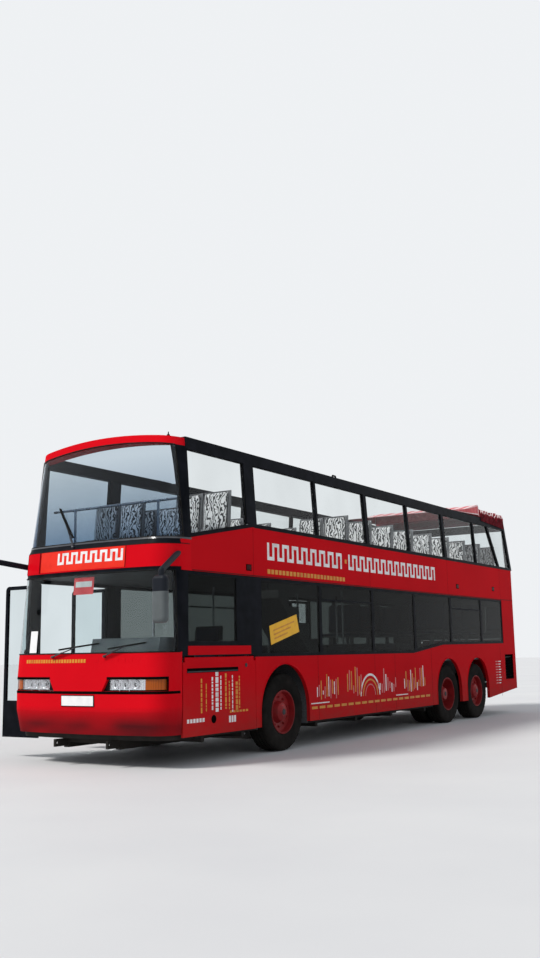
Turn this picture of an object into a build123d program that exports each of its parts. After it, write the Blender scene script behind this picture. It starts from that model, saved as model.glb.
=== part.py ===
from build123d import *
import math
import os

# The bus stands on the ground at z = 0, its front faces -Y and its driver's side is +X.
# All sizes are millimetres.

# Overall body
REAR_FACE = 6000.0
HALF_WIDTH = 1250.0
WALL = 50.0
SIDE_X = (HALF_WIDTH - WALL, HALF_WIDTH)
SKIRT_BOTTOM = 350.0
FRONT_RADIUS = 7500.0
REAR_CORNER_RADIUS = 120.0
GLASS = 8.0
SEAT_GAP = 0.3
MOVING_GAP = 6.0
RUNNING_FIT = 0.05
CUT_PAST = 1.0
BEYOND = 2 * REAR_FACE
ACROSS = (-BEYOND, BEYOND)

# Heights of the side's bands
SILL_FRONT = 1250.0
SILL_MIDDLE = 1385.0
SILL_REAR = 1405.0
DRIVER_SILL = 1400.0
DRIVER_FRAME_EDGE = 45.0
BAND_BOTTOM = 2290.0
BAND_TOP = 2940.0
BAND_TOP_AT_FRONT = 2660.0
BAND_THICKNESS = 40.0
BELT_TRIM = 45.0
BELT_TRIM_X = (HALF_WIDTH - WALL, HALF_WIDTH - 3.0)
RAIL_BOTTOM = 3790.0
RAIL_TOP = 3945.0
RAIL_DEPTH = 75.0
SIDE_LEAN = 65.0
LEANING_FOOT_X = HALF_WIDTH - 2.0
LEANING_TOP_X = LEANING_FOOT_X - SIDE_LEAN
UPPER_SIDE_X = (HALF_WIDTH - 4 * WALL, HALF_WIDTH + WALL)

# Places along the side
PANEL_GAP_Y = -5560.0
PILLAR_REAR_Y = -5460.0
PILLAR_FRONT_Y = -5640.0
BELT_SLOPE_END_Y = -4030.0
FRONT_BAND_END_Y = -5380.0
SILL_KINK_Y = 850.0
SILL_RISE_END_Y = 2100.0
REAR_PILLAR_Y = 5230.0
REAR_WALL_Y = 5850.0
REAR_SKIRT_CORNER = 480.0
DRIVER_BAR_Y = (-5440.0, -4110.0)
DRIVER_BAR_Z = (1288.0, 1395.0)

# Wheels and axles
TYRE_RADIUS = 510.0
TYRE_WIDTH = 290.0
TYRE_SHOULDER = 30.0
TYRE_BEAD = (20.0, 60.0)
TWIN_TYRE_WIDTH = 275.0
TWIN_SPACING = 330.0
RIM_RADIUS = 286.0
RIM_WALL = 12.0
TYRE_FACE_X = HALF_WIDTH - 35.0
SINGLE_CENTRE_X = TYRE_FACE_X - TYRE_WIDTH / 2
TWIN_OUTER_X = TYRE_FACE_X - TWIN_TYRE_WIDTH / 2
TWIN_INNER_X = TWIN_OUTER_X - TWIN_SPACING
FRONT_AXLE_Y = -3280.0
WHEELBASE = 5610.0
TAG_SPACING = 1390.0
DRIVE_AXLE_Y = FRONT_AXLE_Y + WHEELBASE
TAG_AXLE_Y = DRIVE_AXLE_Y + TAG_SPACING
SPINDLE_RADIUS = 45.0
SPINDLE_END = 100.0
DRIVE_SPINDLE_RADIUS = 70.0
DRIVE_SPINDLE_X = (TWIN_INNER_X - 147.5, TWIN_OUTER_X - 77.5)
KINGPIN_X = SINGLE_CENTRE_X - 140.0
KINGPIN_RADIUS = 25.0
# A single wheel's section outside its bore: distance out from the tyre's middle, radius
HUB_BACK = -60.0
HUB_FLOOR = 105.0
RIM_HALF = 135.0
SINGLE_DISC_BACK = ((HUB_BACK, 130.0), (30.0, 130.0))
SINGLE_DISC_FACE = ((60.0, 262.0), (44.0, 150.0), (112.0, 118.0), (140.0, 60.0), (144.0, 0.0))
# A twin wheel's section: distance out from the outer or the inner tyre's middle, radius
TWIN_RIM_HALF = 127.0
TWIN_HUB_X = (TWIN_INNER_X - 122.5, TWIN_OUTER_X - 67.5)
TWIN_HUB = ((TWIN_INNER_X - 122.5, 205.0), (TWIN_INNER_X - 7.5, 205.0), (TWIN_INNER_X - 7.5, 150.0),
            (TWIN_OUTER_X - 187.5, 150.0))
TWIN_DISC_FACE = ((-127.5, 262.0), (-142.5, 165.0), (12.5, 135.0), (72.5, 100.0), (78.5, 0.0))

# Wheel arches: radius and how far the centre lies above the axle
FRONT_ARCH_RADIUS = 620.0
FRONT_ARCH_LIFT = 20.0
REAR_ARCH_RADIUS = 565.0
REAR_ARCH_LIFT = 70.0

# Axle beams, heights from the ground
BEAM_HALF = 50.0
BEAM_Z = (140.0, 195.0)
TAG_BEAM_Z = (250.0, 310.0)
BEAM_EYE_Z = (TYRE_RADIUS - 55.0, TYRE_RADIUS + 55.0)
BEAM_EYE_RADIUS = 45.0
# How far in from the kingpin the arms start: lower and upper side, at the beam and at the eye
BEAM_CRANK_LOW = (290.0, 95.0)
BEAM_CRANK_HIGH = (330.0, 130.0)
BELLOWS_X = 230.0
BELLOWS_RADIUS = 100.0
KNUCKLE_RADIUS = BEAM_EYE_RADIUS + 5.0
KNUCKLE_EAR = 50.0
KNUCKLE_INNER_X = KINGPIN_X + BEAM_EYE_RADIUS + 10.0
AXLE_TUBE_RADIUS = 75.0
DIFF_X = (110.0, 230.0)
DIFF_RADIUS = 185.0
NOSE_LENGTH = 340.0
NOSE_RADIUS = 85.0
SHAFT_RADIUS = 45.0
SPRING_HALF = 90.0
SPRING_FOOT = 30.0
ENGINE_X = (-370.0, 370.0)
ENGINE_Y = (4420.0, 5750.0)
ENGINE_Z = (430.0, 1040.0)
ENGINE_BRACKET_Y = (4650.0, 5450.0)
ENGINE_BRACKET = 50.0

# Floors
FLOOR_TOP = 380.0
FLOOR_THICKNESS = 60.0
FLOOR_HALF_WIDTH = HALF_WIDTH - WALL
AISLE_TOP = 780.0
PODIUM_TOP = 1160.0
PODIUM_START_Y = 1600.0
ENGINE_BULKHEAD_Y = 4300.0
AISLE_HALF_WIDTH = 490.0
PODIUM_RISER = 30.0
STEP_DEPTH = 260.0
UPPER_FLOOR_TOP = 2370.0
UPPER_FLOOR_THICKNESS = 70.0
CEILING = UPPER_FLOOR_TOP - UPPER_FLOOR_THICKNESS
REAR_FLOOR_END_Y = REAR_FACE - WALL
REAR_FLOOR_HALF = HALF_WIDTH - 150.0
WHEELHOUSE_INNER_X = HALF_WIDTH - 700.0
WHEELHOUSE_HALF_LENGTH = 650.0
WHEELHOUSE_TOP = 1170.0
WHEELHOUSE_WALL = 20.0

# Stairs to the upper deck
STAIR_X = (FLOOR_HALF_WIDTH - 560.0, FLOOR_HALF_WIDTH - 10.0)
STAIR_Y = (-1200.0, -3600.0)
STAIR_STEPS = 9
STAIR_SLAB = 110.0
STAIRWELL_X = (STAIR_X[0] - 20.0, STAIR_X[1])
STAIRWELL_Y = (STAIR_Y[1], -1750.0)

# Chassis frame
RAIL_X = (380.0, 460.0)
FRAME_LOW_Z = (200.0, FLOOR_TOP - FLOOR_THICKNESS)
FRAME_HIGH_Z = (640.0, AISLE_TOP - FLOOR_THICKNESS)
FRAME_FRONT_Y = -5720.0
FRAME_MEMBER = 60.0
# Cross members: place along the bus, and whether arms reach out to the side walls
LOW_MEMBERS = ((-5690.0, False), (-5100.0, True), (-4250.0, True), (-2400.0, True),
               (-1200.0, True), (0.0, True), (1300.0, True))
HIGH_MEMBERS = ((1740.0, True), (3025.0, True), (4315.0, True), (5900.0, False))
EYE_PLATE_X = (405.0, 435.0)
EYE_RADIUS = 20.0
EYE_PLATE = 45.0
# Towing eyes: place along the bus, height, where the plate meets the frame, top of the plate
TOWING_EYES = ((-5880.0, 265.0, FRAME_FRONT_Y + CUT_PAST, 310.0),
               (5890.0, 450.0, REAR_FLOOR_END_Y, FRAME_HIGH_Z[0] + CUT_PAST))
PAD_HALF = 60.0
PAD_DEPTH = 15.0
PAD_Y = (-2250.0, 1000.0)

# Doors on the -X side
DOOR_THICKNESS = 36.0
DOOR_BOTTOM = 260.0
DOOR_TOP = 2240.0
DOOR_CORNER = 60.0
DOORWAY_TOP = 2250.0
DOORWAY_WIDTH = 1320.0
FRONT_DOOR_Y = -5440.0
MIDDLE_DOOR_Y = 220.0
HINGE_SETBACK = DOOR_THICKNESS / 2 + MOVING_GAP
DOOR_HINGE_X = HALF_WIDTH - DOOR_THICKNESS / 2
DOOR_PANEL_TOP = 730.0
DOOR_PIN_RADIUS = 9.0
DOOR_PIN_LENGTH = 18.0
LEAF_REACH = DOORWAY_WIDTH / 2 - HINGE_SETBACK - 5.0
LEAF_PANE_EDGE = 48.0

# Flaps: the service flap in front of the left front wheel and the engine flap at the rear
FLAP_Y = (-5545.0, -4015.0)
FLAP_TOP = 1262.0
FLAP_BOTTOM = 345.0
FLAP_THICKNESS = 30.0
FLAP_EDGE_GAP = 6.0
FLAP_OPENING_TOP = 1275.0
HINGE_NOTCH = (40.0, 43.0)
HINGE_PIN_RADIUS = 8.0
LUG_RADIUS = 13.0
LUG_SPAN = (10.0, 30.0)
ENGINE_FLAP_X = (310.0 - HALF_WIDTH, HALF_WIDTH - 310.0)
ENGINE_FLAP_TOP = 1500.0
ENGINE_FLAP_BOTTOM = 600.0
ENGINE_LUG_TOP = ENGINE_FLAP_TOP + MOVING_GAP + 5.0

# The louvred grille of the engine room, on the driver's side
GRILLE_Y = (5260.0, 5740.0)
GRILLE_Z = (680.0, 1180.0)
GRILLE_SLATS = 9
SLAT_X = (HALF_WIDTH - 40.0, HALF_WIDTH - 5.0)
SLAT_THICK = 7.0
SLAT_RISE = 32.0

# Rear bumper, window and lamps
REAR_BUMPER_HALF = HALF_WIDTH - 130.0
REAR_BUMPER_Z = (REAR_SKIRT_CORNER, ENGINE_FLAP_BOTTOM - 20.0)
REAR_BUMPER_DEPTH = 40.0
REAR_WINDOW_X = (400.0 - HALF_WIDTH, HALF_WIDTH - 400.0)
REAR_WINDOW_Z = (1640.0, 2200.0)
TAIL_LAMP_X = (HALF_WIDTH - 240.0, HALF_WIDTH - 140.0)
TAIL_LAMP_Z = (850.0, 1420.0)
TAIL_LAMP_DEPTH = 14.0

# The front's outline: name, height, foremost point, how much narrower per side, corner radius
FRONT_SECTIONS = (
    ("bumper bottom", 380.0, -5930.0, 15.0, 280.0),
    ("bumper crease", 650.0, -5995.0, 0.0, 290.0),
    ("lamp bottom", 885.0, -6000.0, 0.0, 290.0),
    ("mask bottom", 1040.0, -5997.0, 0.0, 295.0),
    ("mask top", 1330.0, -5980.0, 0.0, 310.0),
    ("screen top", 2285.0, -5895.0, 0.0, 335.0),
    ("band bottom", 2330.0, -5890.0, 0.0, 340.0),
    ("band top", 2600.0, -5870.0, 0.0, 350.0),
    ("trim top", 2690.0, -5820.0, 0.0, 345.0),
    ("upper screen top", 3850.0, -5655.0, 60.0, 290.0),
    ("visor top", 4100.0, -5620.0, 73.0, 285.0),
)
SECTION_Z = {row[0]: row[1] for row in FRONT_SECTIONS}

# The crown of the roof visor: height at its side ends and at its middle
CROWN_END = 3805.0
CROWN_MIDDLE = 3925.0
VISOR_HEIGHT = 100.0
VISOR_SIDE_DROP = 100.0
VISOR_END_Y = -5400.0
SHELL_END_Y = -5250.0
CROWN_Y = (SHELL_END_Y - 1250.0, SHELL_END_Y + 250.0)

# The front's panels and lamps
PANEL = 40.0
LAMP_Z = (SECTION_Z["lamp bottom"], SECTION_Z["mask bottom"])
BEAK_HALF = (HALF_WIDTH - 865.0, HALF_WIDTH - 775.0)
LAMP_TRAY = 12.0
LAMP_RECESS = 14.0
LAMP_EDGE = 15.0
# Each lamp's lens: its two ends across the front
LAMPS = ((HALF_WIDTH - 750.0, HALF_WIDTH - 265.0), (HALF_WIDTH - 255.0, HALF_WIDTH - 60.0))
BOWL_X = (HALF_WIDTH - 670.0, HALF_WIDTH - 530.0, HALF_WIDTH - 390.0)
BOWL_RADIUS = 52.0
LENS_FACE = 12.0
FRONT_FLOOR_INSET = WALL + MOVING_GAP + SEAT_GAP

# Lower window posts: centre along the bus, width
LOWER_POSTS = ((-2280.0, 70.0), (-620.0, 70.0), (950.0, 70.0), (2530.0, 70.0), (4050.0, 70.0))
WIDE_POST = (-4420.0, -3840.0)
FRAME_EDGE = 40.0
FRAME_INSET = 6.0
FRAME_X = (HALF_WIDTH - WALL, HALF_WIDTH - FRAME_INSET)
PANE_EDGE = (PILLAR_REAR_Y + 30.0, WIDE_POST[0])
PANE_INSET = 14.0
LOWER_PANE_X = (HALF_WIDTH - PANE_INSET - GLASS, HALF_WIDTH - PANE_INSET)
HOPPER_Z = (2035.0, 2060.0)
HOPPER_BAYS = (1, 4)
HOPPER_X = (LOWER_PANE_X[1] + SEAT_GAP, HALF_WIDTH - FRAME_INSET)

# Upper window posts: centre along the bus, width
UPPER_POSTS = (
    (-4040.0, 230.0),
    (-2290.0, 55.0),
    (-690.0, 100.0),
    (880.0, 60.0),
    (2440.0, 100.0),
    (3970.0, 60.0),
)
UPPER_PILLAR_Y = (-5510.0, -5375.0)
UPPER_PANE_DEPTH = (20.0, 20.0 + GLASS)
SCREEN_INSET = 2.0
POST_DEPTH = 60.0
POST_LAP = 5.0
REAR_FRAME_TOP_Y = 5800.0
REAR_FRAME_FOOT_Y = 5960.0
REAR_FRAME_DEPTH = 90.0
REAR_FRAME_EDGE = 110.0
REAR_POST_TOP_Y = 4650.0
REAR_POST_FOOT_Y = 5200.0
REAR_POST_WIDTH = 70.0
TRIM_END_Y = (REAR_FRAME_FOOT_Y - 10.0, REAR_FRAME_FOOT_Y - 20.0)

# Seats
SEAT_PITCH = 800.0
AISLE_SEAT_X = 270.0
PAIR_WIDTH = FLOOR_HALF_WIDTH - AISLE_SEAT_X - 30.0
SEAT_HEIGHT = 400.0
CUSHION = ((-230.0, 0.0), (-230.0, 85.0), (190.0, 65.0), (190.0, 0.0))
BACK_TOP = 640.0
BACKREST = ((190.0 + SEAT_GAP, 0.0), (190.0 + SEAT_GAP, 80.0), (250.0, BACK_TOP), (315.0, BACK_TOP),
            (275.0, 0.0))
BACK_SHOULDER = 55.0
BACK_SLOT = 12.0
BACK_SLOT_FOOT = 420.0
SEAT_WIDTH = 440.0
LEG_SPREAD = 180.0
LEG_HALF = (20.0, 40.0)
UPPER_ROW_START_Y = -4700.0
UPPER_ROW_END_Y = REAR_FRAME_FOOT_Y - 900.0
UPPER_ROWS = int((UPPER_ROW_END_Y - UPPER_ROW_START_Y) / SEAT_PITCH) + 1
STAIR_CLEARANCE = (400.0, 250.0)
LOWER_ROWS_LEFT = (-700.0, 150.0, 1000.0)
LOWER_ROWS_RIGHT = (-2250.0, -1400.0, -550.0)
PODIUM_ROWS = (2050.0, 2900.0, 3750.0)
PODIUM_SEAT_X = (AISLE_HALF_WIDTH + 40.0, FLOOR_HALF_WIDTH - 10.0)
REAR_ROW_Y = 5450.0
REAR_ROW_HALF = FLOOR_HALF_WIDTH - 50.0

# The driver's place
CAB_FLOOR_TOP = 620.0
CAB_X = (200.0, FLOOR_HALF_WIDTH - 10.0)
CAB_Y = (-5500.0, -3960.0)
DRIVER_X = FLOOR_HALF_WIDTH - 510.0
DRIVER_SEAT_Y = -4560.0
DRIVER_SEAT_HALF = 240.0
PEDESTAL_HALF = (150.0, 140.0)
DASH_TOP = 1318.0
DASH_REAR_Y = -5560.0
DASH_WALL = 40.0
BINNACLE_X = (30.0, FLOOR_HALF_WIDTH - 120.0)
BINNACLE_TOP = 1500.0
BINNACLE_DROP = 160.0
# The binnacle's section: front foot, front of the top, rear of the top, rear foot
BINNACLE_Y = (-5800.0, -5760.0, -5500.0, -5400.0)
STEERING_CENTRE = (DRIVER_X, -5130.0, 1390.0)
STEERING_TILT = 25.0
STEERING_RADIUS = 240.0
STEERING_RIM = 16.0
SPOKE = (2 * STEERING_RADIUS - 40.0, 50.0, 12.0)
HUB_RADIUS = 55.0
HUB_BOTTOM = 35.0
COLUMN_LENGTH = 330.0
COLUMN_RADIUS = 35.0
SHAFT_PIN_RADIUS = 12.0
SHAFT_PIN = 50.0
COLUMN_FOOT_HALF = 80.0
COLUMN_FOOT_Y = (-5450.0, -5250.0)
COLUMN_FOOT_TOP = 1100.0

# Handrails
POLE_RADIUS = 17.0
# Upright poles of the lower deck: x, y
POLES = ((-480.0, -3980.0), (480.0, -2500.0), (-480.0, -2550.0), (-600.0, 120.0), (480.0, -230.0),
         (-480.0, 1300.0))
FRONT_RAIL_Y = -5330.0
FRONT_RAIL_Z = 3200.0
FRONT_RAIL_HALF = HALF_WIDTH - 170.0
FRONT_RAIL_POST_X = 700.0

# Mirrors: side, the arm's root, its bend, the housing's centre; x is counted beyond the side
MIRROR_SIZE = (200.0, 110.0, 540.0)
MIRROR_EDGE = 50.0
MIRROR_ARM = 36.0
MIRRORS = (
    (1, (-50.0, -5560.0, 2500.0), (110.0, -6080.0, 2250.0), (110.0, -6100.0, 1920.0)),
    (-1, (-70.0, -5600.0, 2440.0), (80.0, -6260.0, 2520.0), (80.0, -6280.0, 2190.0)),
)

# Wipers: pivot x and z, blade foot x and z, blade tip x and z
WIPER_BOSS = 16.0
WIPER_ARM = 8.0
WIPER_STANDOFF = 30.0
BLADE_STANDOFF = 12.0
WIPERS = (
    (-230.0, 2640.0, -260.0, 2760.0, -560.0, 3160.0),
    (-420.0, 1290.0, -300.0, 1375.0, 330.0, 1440.0),
    (420.0, 1290.0, 480.0, 1375.0, 1000.0, 1440.0),
)

# The folded roof: place along the bus, height above the rails
CANOPY_OUTLINE = ((3050.0, 0.0), (4350.0, 254.0), (4440.0, 95.0), (5780.0, 95.0), (5780.0, 0.0))
# Its gathered folds: the first one's place, their spacing and count, their height and radius
FOLD_START_Y = 4570.0
FOLD_PITCH = 185.0
FOLDS = 7
FOLD_HEIGHT = 104.0
FOLD_RADIUS = 100.0

os.makedirs("parts", exist_ok=True)


# Plain solids

def block(x, y, z):
    """A box between the two ends given for each direction."""
    low = (min(x), min(y), min(z))
    size = (abs(x[1] - x[0]), abs(y[1] - y[0]), abs(z[1] - z[0]))
    return Pos(*low) * Box(*size, align=(Align.MIN, Align.MIN, Align.MIN))


def polygon(points):
    return Face(Wire.make_polygon([Vector(*p) for p in points], close=True))


def side_prism(outline, x):
    """An outline of (y, z) points, carried from x[0] to x[1]."""
    face = polygon([(x[0], y, z) for y, z in outline])
    return extrude(face, amount=x[1] - x[0], dir=(1, 0, 0))


def cross_prism(outline, y):
    """An outline of (x, z) points, carried from y[0] to y[1]."""
    face = polygon([(x, y[0], z) for x, z in outline])
    return extrude(face, amount=y[1] - y[0], dir=(0, 1, 0))


def plan_prism(outline, z):
    """An outline of (x, y) points, carried from z[0] to z[1]."""
    face = polygon([(x, y, z[0]) for x, y in outline])
    return extrude(face, amount=z[1] - z[0], dir=(0, 0, 1))


def rod_x(x, y, z, radius):
    return Pos((x[0] + x[1]) / 2, y, z) * Rot(0, 90, 0) * Cylinder(radius, abs(x[1] - x[0]))


def rod_y(x, y, z, radius):
    return Pos(x, (y[0] + y[1]) / 2, z) * Rot(90, 0, 0) * Cylinder(radius, abs(y[1] - y[0]))


def rod_z(x, y, z, radius):
    return Pos(x, y, (z[0] + z[1]) / 2) * Cylinder(radius, abs(z[1] - z[0]))


def turned_about_x(outline, y, z, side):
    """A closed outline of (x, radius) points turned about the line along X at y, z."""
    face = polygon([(side * x, y, z + r) for x, r in outline])
    return revolve(face, axis=Axis((0, y, z), (1, 0, 0)))


# The rounded front, worked out from its outline at each height

def front_section(z):
    """Foremost point, half width and corner radius at a height."""
    rows = FRONT_SECTIONS
    for low, high in zip(rows, rows[1:]):
        if z <= high[1]:
            break
    t = (z - low[1]) / (high[1] - low[1])
    tip, narrower, radius = [a + (b - a) * t for a, b in zip(low[2:], high[2:])]
    return tip, HALF_WIDTH - narrower, radius


def front_points(z, inset):
    """Side tangent, corner middle, front tangent and foremost point of the outline."""
    tip, half, radius = front_section(z)
    centre_y = tip + FRONT_RADIUS
    corner_x = half - radius
    corner_y = centre_y - math.sqrt((FRONT_RADIUS - radius) ** 2 - corner_x**2)
    angle = math.atan2(corner_y - centre_y, corner_x)
    r = radius - inset
    half_angle = angle / 2
    tangent = (corner_x + r * math.cos(angle), corner_y + r * math.sin(angle))
    middle = (corner_x + r * math.cos(half_angle), corner_y + r * math.sin(half_angle))
    return (half - inset, corner_y), middle, tangent, (0.0, tip + inset)


def front_edges(z, inset, y_end, backwards=False):
    """The outline's edges from the +X side to the -X side, or the other way."""
    side, middle, tangent, foremost = front_points(z, inset)
    at = lambda p, s: (s * p[0], p[1], z)
    s = -1 if backwards else 1
    return [
        Line((s * side[0], y_end, z), at(side, s)),
        ThreePointArc(at(side, s), at(middle, s), at(tangent, s)),
        ThreePointArc(at(tangent, s), (0.0, foremost[1], z), at(tangent, -s)),
        ThreePointArc(at(tangent, -s), at(middle, -s), at(side, -s)),
        Line(at(side, -s), (-s * side[0], y_end, z)),
    ]


def shell_section(z, inset, thickness, y_end):
    outer = front_edges(z, inset, y_end)
    inner = front_edges(z, inset + thickness, y_end, backwards=True)
    caps = [Line(outer[-1] @ 1, inner[0] @ 0), Line(inner[-1] @ 1, outer[0] @ 0)]
    return Face(Wire([*outer, caps[0], *inner, caps[1]]))


def levels(z):
    """The heights of a panel's own sections: its two ends and each bend between them."""
    bends = [row[1] for row in FRONT_SECTIONS if z[0] < row[1] < z[1]]
    return [z[0], *bends, z[1]]


def front_shell(z, thickness, y_end, inset=0.0):
    """A panel that follows the rounded front between two heights."""
    stack = levels(z)
    pieces = [
        loft([shell_section(a, inset, thickness, y_end), shell_section(b, inset, thickness, y_end)],
             ruled=True)
        for a, b in zip(stack, stack[1:])
    ]
    return pieces[0].fuse(*pieces[1:]) if len(pieces) > 1 else pieces[0]


def front_filled(z, y_end, inset=0.0):
    """The whole plan inside the rounded front, between two heights."""
    def face(level):
        edges = front_edges(level, inset, y_end)
        return Face(Wire([*edges, Line(edges[-1] @ 1, edges[0] @ 0)]))
    stack = levels(z)
    pieces = [loft([face(a), face(b)], ruled=True) for a, b in zip(stack, stack[1:])]
    return pieces[0].fuse(*pieces[1:]) if len(pieces) > 1 else pieces[0]


def under_crown(offset, y):
    """Everything below the roof visor's crowned line, moved up by an offset."""
    end, middle, low = CROWN_END + offset, CROWN_MIDDLE + offset, BAND_BOTTOM
    half = HALF_WIDTH + WALL
    arc = ThreePointArc((-half, y[0], end), (0, y[0], middle), (half, y[0], end))
    sides = [
        Line((half, y[0], end), (half, y[0], low)),
        Line((half, y[0], low), (-half, y[0], low)),
        Line((-half, y[0], low), (-half, y[0], end)),
    ]
    return extrude(Face(Wire([arc, *sides])), amount=y[1] - y[0], dir=(0, 1, 0))


# The side's own lines

def arch_cutter(y, lift, radius, x):
    centre = TYRE_RADIUS + lift
    return rod_x(x, y, centre, radius) + block(x, (y - radius, y + radius), (0, centre))


def arch_cutters(x):
    cutters = arch_cutter(FRONT_AXLE_Y, FRONT_ARCH_LIFT, FRONT_ARCH_RADIUS, x)
    for y in (DRIVE_AXLE_Y, TAG_AXLE_Y):
        cutters += arch_cutter(y, REAR_ARCH_LIFT, REAR_ARCH_RADIUS, x)
    return cutters


def sill_line(start_y):
    """The lower windows' sill, from a place along the side to the rear pillar."""
    return [
        (start_y, SILL_FRONT),
        (SILL_KINK_Y, SILL_FRONT),
        (SILL_RISE_END_Y, SILL_MIDDLE),
        (REAR_PILLAR_Y, SILL_REAR),
    ]


def sill_at(y):
    line = sill_line(PANEL_GAP_Y)
    for (y0, z0), (y1, z1) in zip(line, line[1:]):
        if y <= y1:
            break
    return z0 + (z1 - z0) * (y - y0) / (y1 - y0)


def mirrored_x(x, side):
    """The two x values on one side of the bus, lowest first."""
    return tuple(sorted((side * x[0], side * x[1])))


def past(span):
    """A span made a little longer at both ends, for a cutter."""
    return (span[0] - CUT_PAST, span[1] + CUT_PAST)


def doorway(start):
    return block(mirrored_x(past(SIDE_X), -1), (start, start + DOORWAY_WIDTH), (0, DOORWAY_TOP))


def side_wall(side, front_y):
    """The lower side from skirt to window sill, with the rear pillar."""
    outline = [
        (front_y, SKIRT_BOTTOM),
        (TAG_AXLE_Y + REAR_ARCH_RADIUS, SKIRT_BOTTOM),
        (REAR_WALL_Y, REAR_SKIRT_CORNER),
        (REAR_WALL_Y, BAND_BOTTOM),
        (REAR_PILLAR_Y, BAND_BOTTOM),
        *reversed(sill_line(front_y)),
    ]
    wall = side_prism(outline, mirrored_x(SIDE_X, side))
    return wall - arch_cutters(mirrored_x(past(SIDE_X), side))


def side_wall_left():
    """The driver's side, with the bar under the driver's window and the engine room's grille."""
    wall = side_wall(1, FLAP_Y[1] + FLAP_EDGE_GAP)
    wall += block((HALF_WIDTH - FRAME_INSET, HALF_WIDTH), DRIVER_BAR_Y, DRIVER_BAR_Z)
    wall -= block(past(SIDE_X), GRILLE_Y, GRILLE_Z)
    pitch = (GRILLE_Z[1] - GRILLE_Z[0]) / GRILLE_SLATS
    first = GRILLE_Z[0] + (pitch - SLAT_RISE - SLAT_THICK) / 2
    for n in range(GRILLE_SLATS):
        foot = first + n * pitch
        slat = [(SLAT_X[1], foot), (SLAT_X[1], foot + SLAT_THICK),
                (SLAT_X[0], foot + SLAT_RISE + SLAT_THICK), (SLAT_X[0], foot + SLAT_RISE)]
        wall += cross_prism(slat, past(GRILLE_Y))
    return wall


def side_wall_right():
    wall = side_wall(-1, FRONT_DOOR_Y + DOORWAY_WIDTH)
    corner = block(mirrored_x(SIDE_X, -1), (PANEL_GAP_Y, FRONT_DOOR_Y),
                   (SKIRT_BOTTOM, SECTION_Z["mask top"]))
    return wall - doorway(MIDDLE_DOOR_Y) + corner


# The black frames of the lower windows


def bay_edges(side):
    """The clear openings along one side: front end, rear end."""
    posts = [(y - w / 2, y + w / 2) for y, w in LOWER_POSTS]
    edges = [WIDE_POST, *posts, (REAR_PILLAR_Y - FRAME_EDGE, REAR_PILLAR_Y)]
    if side < 0:
        gone = (MIDDLE_DOOR_Y - FRAME_EDGE, MIDDLE_DOOR_Y + DOORWAY_WIDTH + FRAME_EDGE)
        edges = [e for e in edges if e[1] < gone[0] or e[0] > gone[1]] + [gone]
        edges.sort()
    bays = [(a[1], b[0]) for a, b in zip(edges, edges[1:])]
    return bays


def bay_outline(bay, shrink=0.0):
    """One window opening as (y, z) points, with the sill's bend if it falls inside."""
    y0, y1 = bay[0] + shrink, bay[1] - shrink
    bends = [y for y in (SILL_KINK_Y, SILL_RISE_END_Y) if y0 < y < y1]
    lift = FRAME_EDGE + shrink
    top = BAND_BOTTOM - FRAME_EDGE - shrink
    foot = [(y, sill_at(y) + lift) for y in (y0, *bends, y1)]
    return [*foot, (y1, top), (y0, top)]


def driver_outline(shrink=0.0):
    y0, y1 = PANE_EDGE[0] + shrink, PANE_EDGE[1] - shrink
    z0, z1 = DRIVER_SILL + DRIVER_FRAME_EDGE + shrink, BAND_BOTTOM - FRAME_EDGE - shrink
    return [(y0, z0), (y1, z0), (y1, z1), (y0, z1)]


def side_pieces(side, outlines, x):
    return [side_prism(outline, mirrored_x(x, side)) for outline in outlines]


def flap_panel(outer, thickness, span, top, bottom):
    """A top-hung flap facing +X, rounded about its hinge line, with a pin in each notch."""
    x, z = outer - thickness / 2, top - thickness / 2
    panel = block((outer - thickness, outer), span, (bottom, z)) + rod_y(x, span, z, thickness / 2)
    for end, s in ((span[0], 1), (span[1], -1)):
        notch = (end - s * CUT_PAST, end + s * HINGE_NOTCH[0])
        panel -= block(past((outer - thickness, outer)), notch, (z - HINGE_NOTCH[1], top + CUT_PAST))
        panel += rod_y(x, (end + s * MOVING_GAP, end + s * HINGE_NOTCH[0]), z, HINGE_PIN_RADIUS)
    return panel


def flap_lugs(outer, thickness, span, top, carrier_z):
    """The two lugs that hang from the carrier and hold the flap's pins."""
    x, z = outer - thickness / 2, top - thickness / 2
    lugs = []
    for end, s in ((span[0], 1), (span[1], -1)):
        y = (end + s * LUG_SPAN[0], end + s * LUG_SPAN[1])
        lug = block((x - LUG_RADIUS, x + LUG_RADIUS), y, (z, carrier_z))
        lug += rod_y(x, y, z, LUG_RADIUS)
        lugs.append(lug - rod_y(x, (end, end + s * HINGE_NOTCH[0]), z, HINGE_PIN_RADIUS + RUNNING_FIT))
    return lugs[0] + lugs[1]


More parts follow.
